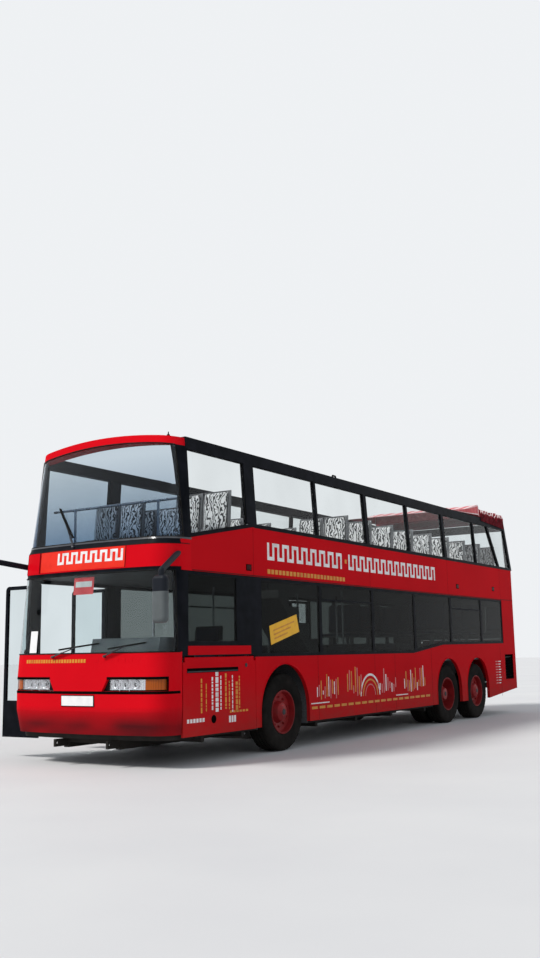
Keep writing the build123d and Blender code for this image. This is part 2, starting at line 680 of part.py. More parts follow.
def window_frame(side):
    """One side's frame with its posts, in front of which the skirt and band stand proud."""
    if side > 0:
        corner_y = PANEL_GAP_Y + FLAP_EDGE_GAP
        foot = [(corner_y, FLAP_OPENING_TOP), (FLAP_Y[1] + FLAP_EDGE_GAP, FLAP_OPENING_TOP)]
        foot += sill_line(FLAP_Y[1] + FLAP_EDGE_GAP)
        head = [(corner_y, SECTION_Z["mask top"])]
    else:
        foot = [(FRONT_DOOR_Y, SECTION_Z["mask top"]), *sill_line(FRONT_DOOR_Y + WALL)]
        head = []
    outline = [*foot, (REAR_PILLAR_Y, BAND_BOTTOM), (PILLAR_REAR_Y, BAND_BOTTOM),
               (PILLAR_REAR_Y, SECTION_Z["mask top"]), *head]
    frame = side_prism(outline, mirrored_x(FRAME_X, side))
    if side > 0:
        frame += flap_lugs(HALF_WIDTH, FLAP_THICKNESS, FLAP_Y, FLAP_TOP, FLAP_OPENING_TOP)
    openings = [bay_outline(bay) for bay in bay_edges(side)]
    if side > 0:
        openings.append(driver_outline())
    cutters = side_pieces(side, openings, past(FRAME_X))
    if side < 0:
        cutters += [doorway(FRONT_DOOR_Y), doorway(MIDDLE_DOOR_Y)]
        cutters += [hinge_bore(y) for y, _ in door_hinges()]
    return frame - cutters


def door_hinges():
    """The upright hinge lines: place along the bus, and which way the leaf closes."""
    lines = []
    for start in (FRONT_DOOR_Y, MIDDLE_DOOR_Y):
        lines.append((start + HINGE_SETBACK, 1))
        lines.append((start + DOORWAY_WIDTH - HINGE_SETBACK, -1))
    return lines


def hinge_bore(y):
    top = DOORWAY_TOP + DOOR_PIN_LENGTH
    return rod_z(-DOOR_HINGE_X, y, past((DOORWAY_TOP, top)), DOOR_PIN_RADIUS + RUNNING_FIT)


def lower_screen_frame():
    """The two pillars that carry on the rounded front, and the lintel between them."""
    foot, head, top = SECTION_Z["mask top"], SECTION_Z["screen top"], SECTION_Z["band bottom"]
    kept = side_prism([(-BEYOND, head), (PILLAR_FRONT_Y, head), (PILLAR_FRONT_Y, foot),
                       (PILLAR_REAR_Y, foot), (PILLAR_REAR_Y, BAND_BOTTOM),
                       (PANEL_GAP_Y, BAND_BOTTOM), (PANEL_GAP_Y, top), (-BEYOND, top)], ACROSS)
    return front_shell((foot, top), WALL, SHELL_END_Y, inset=FRAME_INSET) & kept


def window_frames():
    """Both sides' frames with two hopper bars each, the corner pillars and the screen's lintel."""
    frames = lower_screen_frame() + window_frame(1) + window_frame(-1)
    for side in (1, -1):
        bays = bay_edges(side)
        for bay in (bays[n] for n in HOPPER_BAYS if n < len(bays)):
            frames += block(mirrored_x(HOPPER_X, side), past(bay), HOPPER_Z)
    return frames


def lower_glass():
    panes = []
    for side in (1, -1):
        outlines = [bay_outline(bay, SEAT_GAP) for bay in bay_edges(side)]
        if side > 0:
            outlines.append(driver_outline(SEAT_GAP))
        panes += side_pieces(side, outlines, LOWER_PANE_X)
    return Compound(children=panes)


def lower_windscreen():
    z = (SECTION_Z["mask top"] + SEAT_GAP, SECTION_Z["screen top"] - SEAT_GAP)
    glass = front_shell(z, GLASS, PILLAR_REAR_Y, inset=FRAME_INSET)
    return glass & block(ACROSS, (-BEYOND, PILLAR_FRONT_Y - SEAT_GAP), z)


# The red bands and the black frame of the upper deck

def deck_band():
    """The deep panel between the two decks, on both sides."""
    outline = [
        (FRONT_BAND_END_Y, BAND_BOTTOM),
        (REAR_WALL_Y, BAND_BOTTOM),
        (REAR_WALL_Y, BAND_TOP),
        (BELT_SLOPE_END_Y, BAND_TOP),
        (FRONT_BAND_END_Y, belt_at(FRONT_BAND_END_Y)),
    ]
    return Compound(children=[side_prism(outline, mirrored_x(SIDE_X, s)) for s in (1, -1)])


def belt_at(y):
    """Height of the band's upper edge along the side."""
    slope = (BAND_TOP - BAND_TOP_AT_FRONT) / (BELT_SLOPE_END_Y - PANEL_GAP_Y)
    return min(BAND_TOP, BAND_TOP_AT_FRONT + slope * (y - PANEL_GAP_Y))


def front_band():
    """The panel across the front between the two screens, up to the side bands."""
    low = front_shell((SECTION_Z["band bottom"], SECTION_Z["band top"]), BAND_THICKNESS,
                      FRONT_BAND_END_Y)
    ends = front_shell((BAND_BOTTOM, SECTION_Z["trim top"]), BAND_THICKNESS, FRONT_BAND_END_Y)
    slope = side_prism([(PANEL_GAP_Y, BAND_BOTTOM), (FRONT_BAND_END_Y, BAND_BOTTOM),
                        (FRONT_BAND_END_Y, belt_at(FRONT_BAND_END_Y)),
                        (PANEL_GAP_Y, BAND_TOP_AT_FRONT)], ACROSS)
    return low + (ends & slope)


def leaning_x(z, depth=0.0):
    """How far out the leaning upper side stands at a height."""
    t = (z - BAND_TOP) / (RAIL_TOP - BAND_TOP)
    return LEANING_FOOT_X - SIDE_LEAN * t - depth


def leaning_prism(z, depth, y, side):
    """A strip of the leaning side: between two heights, between two depths, along y."""
    outline = [(leaning_x(z[0], depth[0]), z[0]), (leaning_x(z[1], depth[0]), z[1]),
               (leaning_x(z[1], depth[1]), z[1]), (leaning_x(z[0], depth[1]), z[0])]
    return cross_prism([(side * x, h) for x, h in outline], y)


def raked_y(z, foot, top):
    """Place along the bus of a raked line at a height."""
    return foot + (top - foot) * (z - BAND_TOP) / (RAIL_TOP - BAND_TOP)


def raked_bay(edges, z):
    """An outline between two lines, each given by its foot and its top."""
    low = [raked_y(z[0], *edge) for edge in edges]
    high = [raked_y(z[1], *edge) for edge in edges]
    return [(low[0], z[0]), (low[1], z[0]), (high[1], z[1]), (high[0], z[1])]


def rear_frame():
    """The raked frame round the upper rear window."""
    z = (BAND_TOP, RAIL_TOP)
    half = leaning_x(BAND_TOP)
    outer = [(REAR_FRAME_FOOT_Y, z[0]), (REAR_FRAME_TOP_Y, z[1]),
             (REAR_FRAME_TOP_Y - REAR_FRAME_DEPTH, z[1]),
             (REAR_FRAME_FOOT_Y - REAR_FRAME_DEPTH, z[0])]
    slab = side_prism(outer, (-half, half))
    reach = (REAR_PILLAR_Y, REAR_FACE)
    slab &= cross_prism([(-half, z[0]), (half, z[0]), (LEANING_TOP_X, z[1]), (-LEANING_TOP_X, z[1])],
                        reach)
    edge = half - REAR_FRAME_EDGE
    window = block((-edge, edge), reach, (z[0] + BELT_TRIM, RAIL_BOTTOM))
    return slab - window


def upper_frame():
    """Roof rails, posts, belt trim and rear frame of the open upper deck."""
    shape = rear_frame()
    for side in (1, -1):
        rail_y = (VISOR_END_Y, REAR_FRAME_TOP_Y - REAR_FRAME_DEPTH / 2)
        shape += leaning_prism((RAIL_BOTTOM, RAIL_TOP), (0.0, RAIL_DEPTH), rail_y, side)
        trim = [(FRONT_BAND_END_Y, belt_at(FRONT_BAND_END_Y)),
                (BELT_SLOPE_END_Y, BAND_TOP),
                (TRIM_END_Y[0], BAND_TOP),
                (TRIM_END_Y[1], BAND_TOP + BELT_TRIM),
                (BELT_SLOPE_END_Y, BAND_TOP + BELT_TRIM),
                (FRONT_BAND_END_Y, belt_at(FRONT_BAND_END_Y) + BELT_TRIM)]
        shape += side_prism(trim, mirrored_x(BELT_TRIM_X, side))
        for y, width in UPPER_POSTS:
            z = (BAND_TOP + BELT_TRIM - POST_LAP, RAIL_BOTTOM + POST_LAP)
            shape += leaning_prism(z, (0.0, POST_DEPTH), (y - width / 2, y + width / 2), side)
        post = raked_bay(((REAR_POST_FOOT_Y, REAR_POST_TOP_Y),
                          (REAR_POST_FOOT_Y + REAR_POST_WIDTH, REAR_POST_TOP_Y + REAR_POST_WIDTH)), z)
        lean = leaning_prism(z, (0.0, POST_DEPTH), (0.0, REAR_FACE), side)
        shape += lean & side_prism(post, mirrored_x(UPPER_SIDE_X, side))
    return shape + upper_front_frame()


def upper_front_frame():
    """The strip under the upper screen and the two pillars beside it."""
    low, high = SECTION_Z["band top"], SECTION_Z["trim top"]
    front, rear = UPPER_PILLAR_Y
    kept = side_prism([(-BEYOND, low), (PANEL_GAP_Y, low), (PANEL_GAP_Y, BAND_TOP_AT_FRONT),
                       (rear, belt_at(rear)), (rear, BEYOND), (front, BEYOND), (front, high),
                       (-BEYOND, high)], ACROSS)
    shell = front_shell((low, CROWN_MIDDLE), WALL, SHELL_END_Y)
    return shell & kept & under_crown(-SEAT_GAP, CROWN_Y)


def upper_windscreen():
    z = (SECTION_Z["trim top"] + SEAT_GAP, CROWN_MIDDLE)
    glass = front_shell(z, GLASS, SHELL_END_Y, inset=SCREEN_INSET)
    glass &= under_crown(-SEAT_GAP, CROWN_Y)
    return glass & block(ACROSS, (-BEYOND, UPPER_PILLAR_Y[0] - SEAT_GAP), (BAND_BOTTOM, BEYOND))


def roof_visor():
    """The crowned red header over the upper screen."""
    z = (SECTION_Z["upper screen top"] - VISOR_SIDE_DROP, SECTION_Z["visor top"])
    slab = front_filled(z, SHELL_END_Y)
    reach = (CROWN_Y[0], VISOR_END_Y)
    return (slab & under_crown(VISOR_HEIGHT, reach)) - under_crown(0.0, reach)


def upper_bays():
    """Clear openings between the upper posts: front end, rear end."""
    edges = [(UPPER_PILLAR_Y[0], UPPER_PILLAR_Y[1])]
    edges += [(y - w / 2, y + w / 2) for y, w in UPPER_POSTS]
    return [(a[1], b[0]) for a, b in zip(edges, edges[1:])]


def upper_glass():
    """The side panes of the upper deck, its raked rear quarter panes and its rear pane."""
    panes = []
    for side in (1, -1):
        for y0, y1 in upper_bays():
            z = (BAND_TOP_AT_FRONT, RAIL_BOTTOM - SEAT_GAP)
            pane = leaning_prism(z, UPPER_PANE_DEPTH, (y0 + SEAT_GAP, y1 - SEAT_GAP), side)
            ends = [(y0, belt_at(y0)), (y1, belt_at(y1))]
            if y0 < BELT_SLOPE_END_Y < y1:
                ends.insert(1, (BELT_SLOPE_END_Y, BAND_TOP))
            foot = [(y, h + BELT_TRIM + SEAT_GAP) for y, h in ends]
            above = side_prism([*foot, (y1, RAIL_TOP), (y0, RAIL_TOP)],
                               mirrored_x(UPPER_SIDE_X, side))
            panes.append(pane & above)
        z = (BAND_TOP + BELT_TRIM + SEAT_GAP, RAIL_BOTTOM - SEAT_GAP)
        start = UPPER_POSTS[-1][0] + UPPER_POSTS[-1][1] / 2 + SEAT_GAP
        post = (REAR_POST_FOOT_Y - SEAT_GAP, REAR_POST_TOP_Y - SEAT_GAP)
        behind = tuple(y + REAR_POST_WIDTH + 2 * SEAT_GAP for y in post)
        rear = tuple(y - REAR_FRAME_DEPTH - SEAT_GAP for y in (REAR_FRAME_FOOT_Y, REAR_FRAME_TOP_Y))
        for edges in (((start, start), post), (behind, rear)):
            lean = leaning_prism(z, UPPER_PANE_DEPTH, (start, REAR_FACE), side)
            panes.append(lean & side_prism(raked_bay(edges, z), mirrored_x(UPPER_SIDE_X, side)))
    return Compound(children=[*panes, upper_rear_pane()])


def upper_rear_pane():
    """The raked window at the back of the upper deck."""
    z = (BAND_TOP + BELT_TRIM + SEAT_GAP, RAIL_BOTTOM - SEAT_GAP)
    half = leaning_x(BAND_TOP) - REAR_FRAME_EDGE - SEAT_GAP
    middle = REAR_FRAME_DEPTH / 2
    lines = [tuple(y - depth for y in (REAR_FRAME_FOOT_Y, REAR_FRAME_TOP_Y))
             for depth in (middle + GLASS, middle)]
    return side_prism(raked_bay(lines, z), (-half, half))


# Front and rear panels


def front_mask():
    """The panel under the lower screen, with the beak between the lamps."""
    mask = front_shell((LAMP_Z[1], SECTION_Z["mask top"]), PANEL, PANEL_GAP_Y)
    strip = front_shell(LAMP_Z, PANEL, PANEL_GAP_Y)
    beak = cross_prism([(-BEAK_HALF[0], LAMP_Z[0]), (BEAK_HALF[0], LAMP_Z[0]),
                        (BEAK_HALF[1], LAMP_Z[1]), (-BEAK_HALF[1], LAMP_Z[1])],
                       (-BEYOND, SHELL_END_Y))
    return mask + (strip & beak)


def front_bumper():
    z = (SECTION_Z["bumper bottom"], LAMP_Z[0] - SEAT_GAP)
    return front_shell(z, PANEL, PANEL_GAP_Y)


def lamp_housings():
    """The dark trays behind the front lamps."""
    tray = front_shell((LAMP_Z[0] + SEAT_GAP, LAMP_Z[1] - SEAT_GAP), LAMP_TRAY, PANEL_GAP_Y,
                       inset=PANEL + SEAT_GAP)
    return tray


def head_lamps():
    """A clear lens with three round bowls and an amber lens on each side, set back in the slot."""
    z = (LAMP_Z[0] + LAMP_EDGE, LAMP_Z[1] - LAMP_EDGE)
    strip = front_shell(z, PANEL - LAMP_RECESS, PANEL_GAP_Y, inset=LAMP_RECESS)
    for side in (1, -1):
        for x in BOWL_X:
            face = before_front(side * x, sum(z) / 2, -LAMP_RECESS - LENS_FACE)[1]
            strip -= rod_y(side * x, (face, face + BOWL_RADIUS), sum(z) / 2, BOWL_RADIUS)
    lenses = [strip & block(mirrored_x(ends, side), (-BEYOND, SHELL_END_Y), z)
              for ends in LAMPS for side in (1, -1)]
    return Compound(children=lenses)


# The rear


def rear_outline(inset):
    """The rear's plan outline from the +X side round both corners."""
    half, back, r = HALF_WIDTH - inset, REAR_FACE - inset, REAR_CORNER_RADIUS - inset
    cx, cy, d = half - r, back - r, r * math.sqrt(0.5)
    return [(half, REAR_WALL_Y), (half, cy), (cx + d, cy + d), (cx, back)]


def rear_edges(inset, z, s):
    start, side, middle, back = rear_outline(inset)
    at = lambda p, k: (k * p[0], p[1], z)
    return [
        Line(at(start, s), at(side, s)),
        ThreePointArc(at(side, s), at(middle, s), at(back, s)),
        Line(at(back, s), at(back, -s)),
        ThreePointArc(at(back, -s), at(middle, -s), at(side, -s)),
        Line(at(side, -s), at(start, -s)),
    ]


def rear_wall():
    """The rear panel round both corners with its bumper, cut for flap, window and lamps."""
    z = REAR_SKIRT_CORNER
    outer, inner = rear_edges(0.0, z, 1), rear_edges(WALL, z, -1)
    caps = [Line(outer[-1] @ 1, inner[0] @ 0), Line(inner[-1] @ 1, outer[0] @ 0)]
    section = Face(Wire([*outer, caps[0], *inner, caps[1]]))
    wall = extrude(section, amount=BAND_TOP - z, dir=(0, 0, 1))
    depth = past((REAR_FACE - WALL, REAR_FACE))
    flap_x = (ENGINE_FLAP_X[0] - MOVING_GAP, ENGINE_FLAP_X[1] + MOVING_GAP)
    wall -= block(flap_x, depth, (ENGINE_FLAP_BOTTOM - MOVING_GAP, ENGINE_FLAP_TOP + MOVING_GAP))
    wall -= block(REAR_WINDOW_X, depth, REAR_WINDOW_Z)
    for side in (1, -1):
        wall -= block(mirrored_x(TAIL_LAMP_X, side),
                      (REAR_FACE - TAIL_LAMP_DEPTH, REAR_FACE + CUT_PAST), TAIL_LAMP_Z)
    lugs = flap_lugs(REAR_FACE, FLAP_THICKNESS, ENGINE_FLAP_X, ENGINE_FLAP_TOP, ENGINE_LUG_TOP)
    end, back, depth = REAR_BUMPER_HALF, REAR_FACE, REAR_BUMPER_DEPTH
    bumper = plan_prism([(-end, back - CUT_PAST), (end, back - CUT_PAST), (end - depth, back + depth),
                         (depth - end, back + depth)], REAR_BUMPER_Z)
    return wall + Rot(0, 0, 90) * lugs + bumper


def engine_flap():
    return Rot(0, 0, 90) * flap_panel(REAR_FACE, FLAP_THICKNESS, ENGINE_FLAP_X,
                                      ENGINE_FLAP_TOP, ENGINE_FLAP_BOTTOM)


def service_flap():
    return flap_panel(HALF_WIDTH, FLAP_THICKNESS, FLAP_Y, FLAP_TOP, FLAP_BOTTOM)


def tail_lamps():
    gap = SEAT_GAP
    z = (TAIL_LAMP_Z[0] + gap, TAIL_LAMP_Z[1] - gap)
    x = (TAIL_LAMP_X[0] + gap, TAIL_LAMP_X[1] - gap)
    y = (REAR_FACE - TAIL_LAMP_DEPTH + gap, REAR_FACE)
    return Compound(children=[block(mirrored_x(x, s), y, z) for s in (1, -1)])


def rear_pane():
    y = (REAR_FACE - PANE_INSET - GLASS, REAR_FACE - PANE_INSET)
    x = (REAR_WINDOW_X[0] + SEAT_GAP, REAR_WINDOW_X[1] - SEAT_GAP)
    return block(x, y, (REAR_WINDOW_Z[0] + SEAT_GAP, REAR_WINDOW_Z[1] - SEAT_GAP))


# Floors, frame and axles


def lower_floor():
    """Low floor, front wheel housings, rear podiums and the raised rear aisle."""
    low = (FLOOR_TOP - FLOOR_THICKNESS, FLOOR_TOP)
    half = FLOOR_HALF_WIDTH
    floor = front_filled(low, SHELL_END_Y, inset=FRONT_FLOOR_INSET)
    floor += block((-half, half), (SHELL_END_Y, PODIUM_START_Y), low)
    for side in (1, -1):
        x = mirrored_x((WHEELHOUSE_INNER_X, half), side)
        y = (FRONT_AXLE_Y - WHEELHOUSE_HALF_LENGTH, FRONT_AXLE_Y + WHEELHOUSE_HALF_LENGTH)
        wall = WHEELHOUSE_WALL
        floor += block(x, y, (low[0], WHEELHOUSE_TOP))
        inner = mirrored_x((WHEELHOUSE_INNER_X + wall, half + CUT_PAST), side)
        floor -= block(inner, (y[0] + wall, y[1] - wall), (0, WHEELHOUSE_TOP - wall))
    aisle, top, slab = AISLE_HALF_WIDTH, PODIUM_TOP, FLOOR_THICKNESS
    riser = PODIUM_RISER
    start, end = PODIUM_START_Y, ENGINE_BULKHEAD_Y
    floor += block((-half, half), (start, start + riser), (low[0], AISLE_TOP))
    floor += block((-aisle, aisle), (start, end + riser), (AISLE_TOP - slab, AISLE_TOP))
    floor += block((-aisle, aisle), (start - STEP_DEPTH, start),
                   (FLOOR_TOP, (FLOOR_TOP + AISLE_TOP) / 2))
    for side in (1, -1):
        outer = mirrored_x((aisle, half), side)
        floor += block(outer, (start, end + riser), (top - slab, top))
        floor += block(outer, (start, start + riser), (AISLE_TOP, top))
        floor += block(mirrored_x((aisle, aisle + riser), side), (start, end + riser),
                       (AISLE_TOP - slab, top))
    floor += block((-aisle, aisle), (end, end + riser), (AISLE_TOP, top))
    floor += block((-half, half), (end, REAR_WALL_Y), (top - slab, top))
    floor += block((-REAR_FLOOR_HALF, REAR_FLOOR_HALF), (REAR_WALL_Y, REAR_FLOOR_END_Y),
                   (top - slab, top))
    return floor


def upper_floor():
    z = (UPPER_FLOOR_TOP - UPPER_FLOOR_THICKNESS, UPPER_FLOOR_TOP)
    half = FLOOR_HALF_WIDTH
    floor = front_filled(z, SHELL_END_Y, inset=FRONT_FLOOR_INSET)
    floor += block((-half, half), (SHELL_END_Y, REAR_WALL_Y), z)
    floor += block((-REAR_FLOOR_HALF, REAR_FLOOR_HALF), (REAR_WALL_Y, REAR_FLOOR_END_Y), z)
    return floor - block(STAIRWELL_X, STAIRWELL_Y, past(z))


def stairs():
    """A closed flight with its treads cut as steps."""
    run = (STAIR_Y[1] - STAIR_Y[0]) / STAIR_STEPS
    rise = (UPPER_FLOOR_TOP - FLOOR_TOP) / STAIR_STEPS
    outline = [(STAIR_Y[0], FLOOR_TOP)]
    for n in range(STAIR_STEPS - 1):
        y, z = STAIR_Y[0] + n * run, FLOOR_TOP + (n + 1) * rise
        outline += [(y, z), (y + run, z)]
    outline += [(STAIR_Y[1] - run, outline[-1][1] - STAIR_SLAB / 2)]
    foot = STAIR_Y[0] + run * (STAIR_SLAB + rise) / rise
    outline = outline[:-1] + [(outline[-2][0], outline[-2][1] - STAIR_SLAB), (foot, FLOOR_TOP)]
    return side_prism(outline, STAIR_X)


def frame_half(rails, members, z, eye):
    """Two rails with their cross members, and a towing eye under each rail's end."""
    half, (eye_y, eye_z, root, top) = rails[0] + rails[1], eye
    for y, arms in members:
        span = FLOOR_HALF_WIDTH if arms else RAIL_X[1]
        half += block((-span, span), (y - FRAME_MEMBER / 2, y + FRAME_MEMBER / 2),
                      (z[1] - FRAME_MEMBER, z[1]))
    for side in (1, -1):
        half += block(mirrored_x(EYE_PLATE_X, side), (eye_y - EYE_PLATE, root), (eye_z - EYE_PLATE, top))
    return half - rod_x((-RAIL_X[1], RAIL_X[1]), eye_y, eye_z, EYE_RADIUS)


def underframe():
    """The low front half with its jacking pads, and the kicked-up rear half bolted to it."""
    low, high = FRAME_LOW_Z, FRAME_HIGH_Z
    kick = (PODIUM_START_Y + PODIUM_RISER, PODIUM_START_Y + PODIUM_RISER + RAIL_X[1] - RAIL_X[0])
    kicked = [(kick[0], low[0]), (kick[1], low[0]), (kick[1], high[0]), (REAR_FLOOR_END_Y, high[0]),
              (REAR_FLOOR_END_Y, high[1]), (kick[0], high[1])]
    rails = [mirrored_x(RAIL_X, side) for side in (1, -1)]
    front = frame_half([block(x, (FRAME_FRONT_Y, kick[0] - SEAT_GAP), low) for x in rails],
                       LOW_MEMBERS, low, TOWING_EYES[0])
    for x in rails:
        for y in PAD_Y:
            centre = sum(x) / 2
            front += block((centre - PAD_HALF, centre + PAD_HALF), (y - PAD_HALF, y + PAD_HALF),
                           (low[0] - PAD_DEPTH, low[0]))
    rear = frame_half([side_prism(kicked, x) for x in rails], HIGH_MEMBERS, high, TOWING_EYES[1])
    return Compound(children=[front, rear])


def cranked_beam(y, low, end_x):
    """A beam low in the middle, with arms rising to the wheel ends."""
    eye = BEAM_EYE_Z
    under, over = [[KINGPIN_X - d for d in crank] for crank in (BEAM_CRANK_LOW, BEAM_CRANK_HIGH)]
    half = [(under[0], low[0]), (under[1], eye[0]), (end_x, eye[0]), (end_x, eye[1]),
            (over[1], eye[1]), (over[0], low[1])]
    outline = [*half, *[(-x, z) for x, z in reversed(half)]]
    return cross_prism(outline, (y - BEAM_HALF, y + BEAM_HALF))


def front_axle():
    """The dropped front beam with its kingpin eyes and its two air springs."""
    y = FRONT_AXLE_Y
    beam = cranked_beam(y, BEAM_Z, KINGPIN_X)
    for side in (1, -1):
        beam += rod_z(side * KINGPIN_X, y, BEAM_EYE_Z, BEAM_EYE_RADIUS)
        beam -= rod_z(side * KINGPIN_X, y, past(BEAM_EYE_Z), KINGPIN_RADIUS + RUNNING_FIT)
        beam += rod_z(side * BELLOWS_X, y, (BEAM_Z[1], FRAME_LOW_Z[1]), BELLOWS_RADIUS)
    return beam


def spindle(side, y, start_x):
    end = SINGLE_CENTRE_X + SPINDLE_END
    return rod_x((side * start_x, side * end), y, TYRE_RADIUS, SPINDLE_RADIUS)


def tag_axle():
    """The cranked trailing beam behind the drive axle, with its spindles."""
    y = TAG_AXLE_Y
    plate_x = SINGLE_CENTRE_X + HUB_BACK - MOVING_GAP
    beam = cranked_beam(y, TAG_BEAM_Z, plate_x)
    for side in (1, -1):
        beam += spindle(side, y, plate_x)
        beam += block(mirrored_x(RAIL_X, side), (y - BEAM_HALF, y + BEAM_HALF),
                      (TAG_BEAM_Z[1], FRAME_HIGH_Z[0]))
    return beam


def drive_axle():
    """The driven axle with its differential, and the shaft from the rear engine."""
    y, z = DRIVE_AXLE_Y, TYRE_RADIUS
    start, end = DRIVE_SPINDLE_X
    half = [(DIFF_X[0], DIFF_RADIUS), (DIFF_X[1], AXLE_TUBE_RADIUS), (start, AXLE_TUBE_RADIUS),
            (start, DRIVE_SPINDLE_RADIUS), (end, DRIVE_SPINDLE_RADIUS), (end, 0.0)]
    axle = turned_about_x([*[(-x, r) for x, r in reversed(half)], *half], y, z, 1)
    axle += rod_y(0, (y, y + NOSE_LENGTH), z, NOSE_RADIUS)
    axle += rod_y(0, (y, ENGINE_Y[0]), z, SHAFT_RADIUS)
    for side in (1, -1):
        axle += block(mirrored_x(RAIL_X, side), (y - SPRING_HALF, y + SPRING_HALF),
                      (z + SPRING_FOOT, FRAME_HIGH_Z[0]))
    return axle


def engine():
    """The engine and gearbox as one block, on brackets that rest on the rails."""
    body = block(ENGINE_X, ENGINE_Y, ENGINE_Z)
    for side in (1, -1):
        for y in ENGINE_BRACKET_Y:
            body += block(mirrored_x((ENGINE_X[1], RAIL_X[1]), side),
                          (y - ENGINE_BRACKET, y + ENGINE_BRACKET),
                          (FRAME_HIGH_Z[1], FRAME_HIGH_Z[1] + ENGINE_BRACKET))
    return body


def knuckle(side):
    """The steered yoke on one side, with its kingpin and wheel spindle."""
    y, r = FRONT_AXLE_Y, KNUCKLE_RADIUS
    plate_x = SINGLE_CENTRE_X + HUB_BACK - MOVING_GAP
    low = (BEAM_EYE_Z[0] - MOVING_GAP - KNUCKLE_EAR, BEAM_EYE_Z[0] - MOVING_GAP)
    high = (BEAM_EYE_Z[1] + MOVING_GAP, BEAM_EYE_Z[1] + MOVING_GAP + KNUCKLE_EAR)
    body = block((KNUCKLE_INNER_X, plate_x), (y - r, y + r), (low[0], high[1]))
    for ear in (low, high):
        body += rod_z(KINGPIN_X, y, ear, r)
        body += block((KINGPIN_X, plate_x), (y - r, y + r), ear)
    body += rod_z(KINGPIN_X, y, (low[0], high[1]), KINGPIN_RADIUS)
    body += spindle(1, y, plate_x)
    return body if side > 0 else mirror(body, about=Plane.YZ)


# Wheels


def single_rim(side, y):
    """A single wheel: barrel, dished disc and domed hub, bored for its spindle."""
    wall, bore = RIM_RADIUS - RIM_WALL, SPINDLE_RADIUS + RUNNING_FIT
    outline = [(HUB_FLOOR, 0), (HUB_FLOOR, bore), (HUB_BACK, bore), *SINGLE_DISC_BACK,
               (SINGLE_DISC_BACK[-1][0], wall), (-RIM_HALF, wall), (-RIM_HALF, RIM_RADIUS),
               (RIM_HALF, RIM_RADIUS), (RIM_HALF, wall), *SINGLE_DISC_FACE]
    return turned_about_x([(SINGLE_CENTRE_X + u, r) for u, r in outline], y, TYRE_RADIUS, side)


def twin_rim(side, y):
    """The twin wheel: two barrels on one disc, with a deep hub, bored for the axle end."""
    bore, wall = DRIVE_SPINDLE_RADIUS + RUNNING_FIT, RIM_RADIUS - RIM_WALL
    inner_end, outer_end = TWIN_INNER_X - TWIN_RIM_HALF, TWIN_OUTER_X + TWIN_RIM_HALF
    outline = [(TWIN_HUB_X[1], 0), (TWIN_HUB_X[1], bore), (TWIN_HUB_X[0], bore), *TWIN_HUB,
               (TWIN_HUB[-1][0], wall), (inner_end, wall), (inner_end, RIM_RADIUS),
               (outer_end, RIM_RADIUS), (outer_end, wall),
               *[(TWIN_OUTER_X + u, r) for u, r in TWIN_DISC_FACE]]
    return turned_about_x(outline, y, TYRE_RADIUS, side)


def tyre(side, y, centre, width):
    """One tyre: tread, shoulders and side walls down to the rim."""
    edge, shoulder, (narrower, deep) = RIM_RADIUS + SEAT_GAP, TYRE_SHOULDER, TYRE_BEAD
    half = [(width / 2 - shoulder, TYRE_RADIUS), (width / 2, TYRE_RADIUS - shoulder),
            (width / 2, edge + deep), (width / 2 - narrower, edge)]
    outline = [*[(-u, r) for u, r in reversed(half)], *half]
    return turned_about_x([(centre + u, r) for u, r in outline], y, TYRE_RADIUS, side)


def single_tyre(side, y):
    return tyre(side, y, SINGLE_CENTRE_X, TYRE_WIDTH)


def twin_tyres(side, y):
    pair = [tyre(side, y, x, TWIN_TYRE_WIDTH) for x in (TWIN_OUTER_X, TWIN_INNER_X)]
    return Compound(children=pair)


# Doors, drawn as they stand open, square to the bus


def leaf_block(hinge_y, half, reach, z):
    x = -DOOR_HINGE_X
    return block((x - reach[1], x - reach[0]), (hinge_y - half, hinge_y + half), z)


def door_pane_z():
    return (DOOR_PANEL_TOP + SEAT_GAP, DOOR_TOP - LEAF_PANE_EDGE - SEAT_GAP)


def door_leaf(hinge_y):
    """A leaf with one rounded upper corner, its pane opening and its hinge pin."""
    half = DOOR_THICKNESS / 2
    leaf = leaf_block(hinge_y, half, (0.0, LEAF_REACH), (DOOR_BOTTOM, DOOR_TOP))
    leaf += rod_z(-DOOR_HINGE_X, hinge_y, (DOOR_BOTTOM, DOOR_TOP), half)
    corner = (LEAF_REACH - DOOR_CORNER, LEAF_REACH + CUT_PAST)
    z = DOOR_TOP - DOOR_CORNER
    leaf -= leaf_block(hinge_y, half + CUT_PAST, corner, (z, DOOR_TOP + CUT_PAST))
    leaf += rod_y(-DOOR_HINGE_X - corner[0], (hinge_y - half, hinge_y + half), z, DOOR_CORNER)
    leaf -= leaf_block(hinge_y, half + CUT_PAST, (LEAF_PANE_EDGE, LEAF_REACH - LEAF_PANE_EDGE),
                       (DOOR_PANEL_TOP, DOOR_TOP - LEAF_PANE_EDGE))
    pin_top = DOORWAY_TOP + DOOR_PIN_LENGTH - CUT_PAST
    return leaf + rod_z(-DOOR_HINGE_X, hinge_y, (DOOR_TOP, pin_top), DOOR_PIN_RADIUS)


def door_glass(hinge_y):
    edge = LEAF_PANE_EDGE + SEAT_GAP
    return leaf_block(hinge_y, GLASS / 2, (edge, LEAF_REACH - edge), door_pane_z())


def closed_door(shape, hinge_y, turn):
    """The leaf as it stands in the doorway, for the doors that are shut."""
    x = -DOOR_HINGE_X
    return Pos(x, hinge_y, 0) * Rot(0, 0, -90.0 * turn) * Pos(-x, -hinge_y, 0) * shape


# Seats and fittings


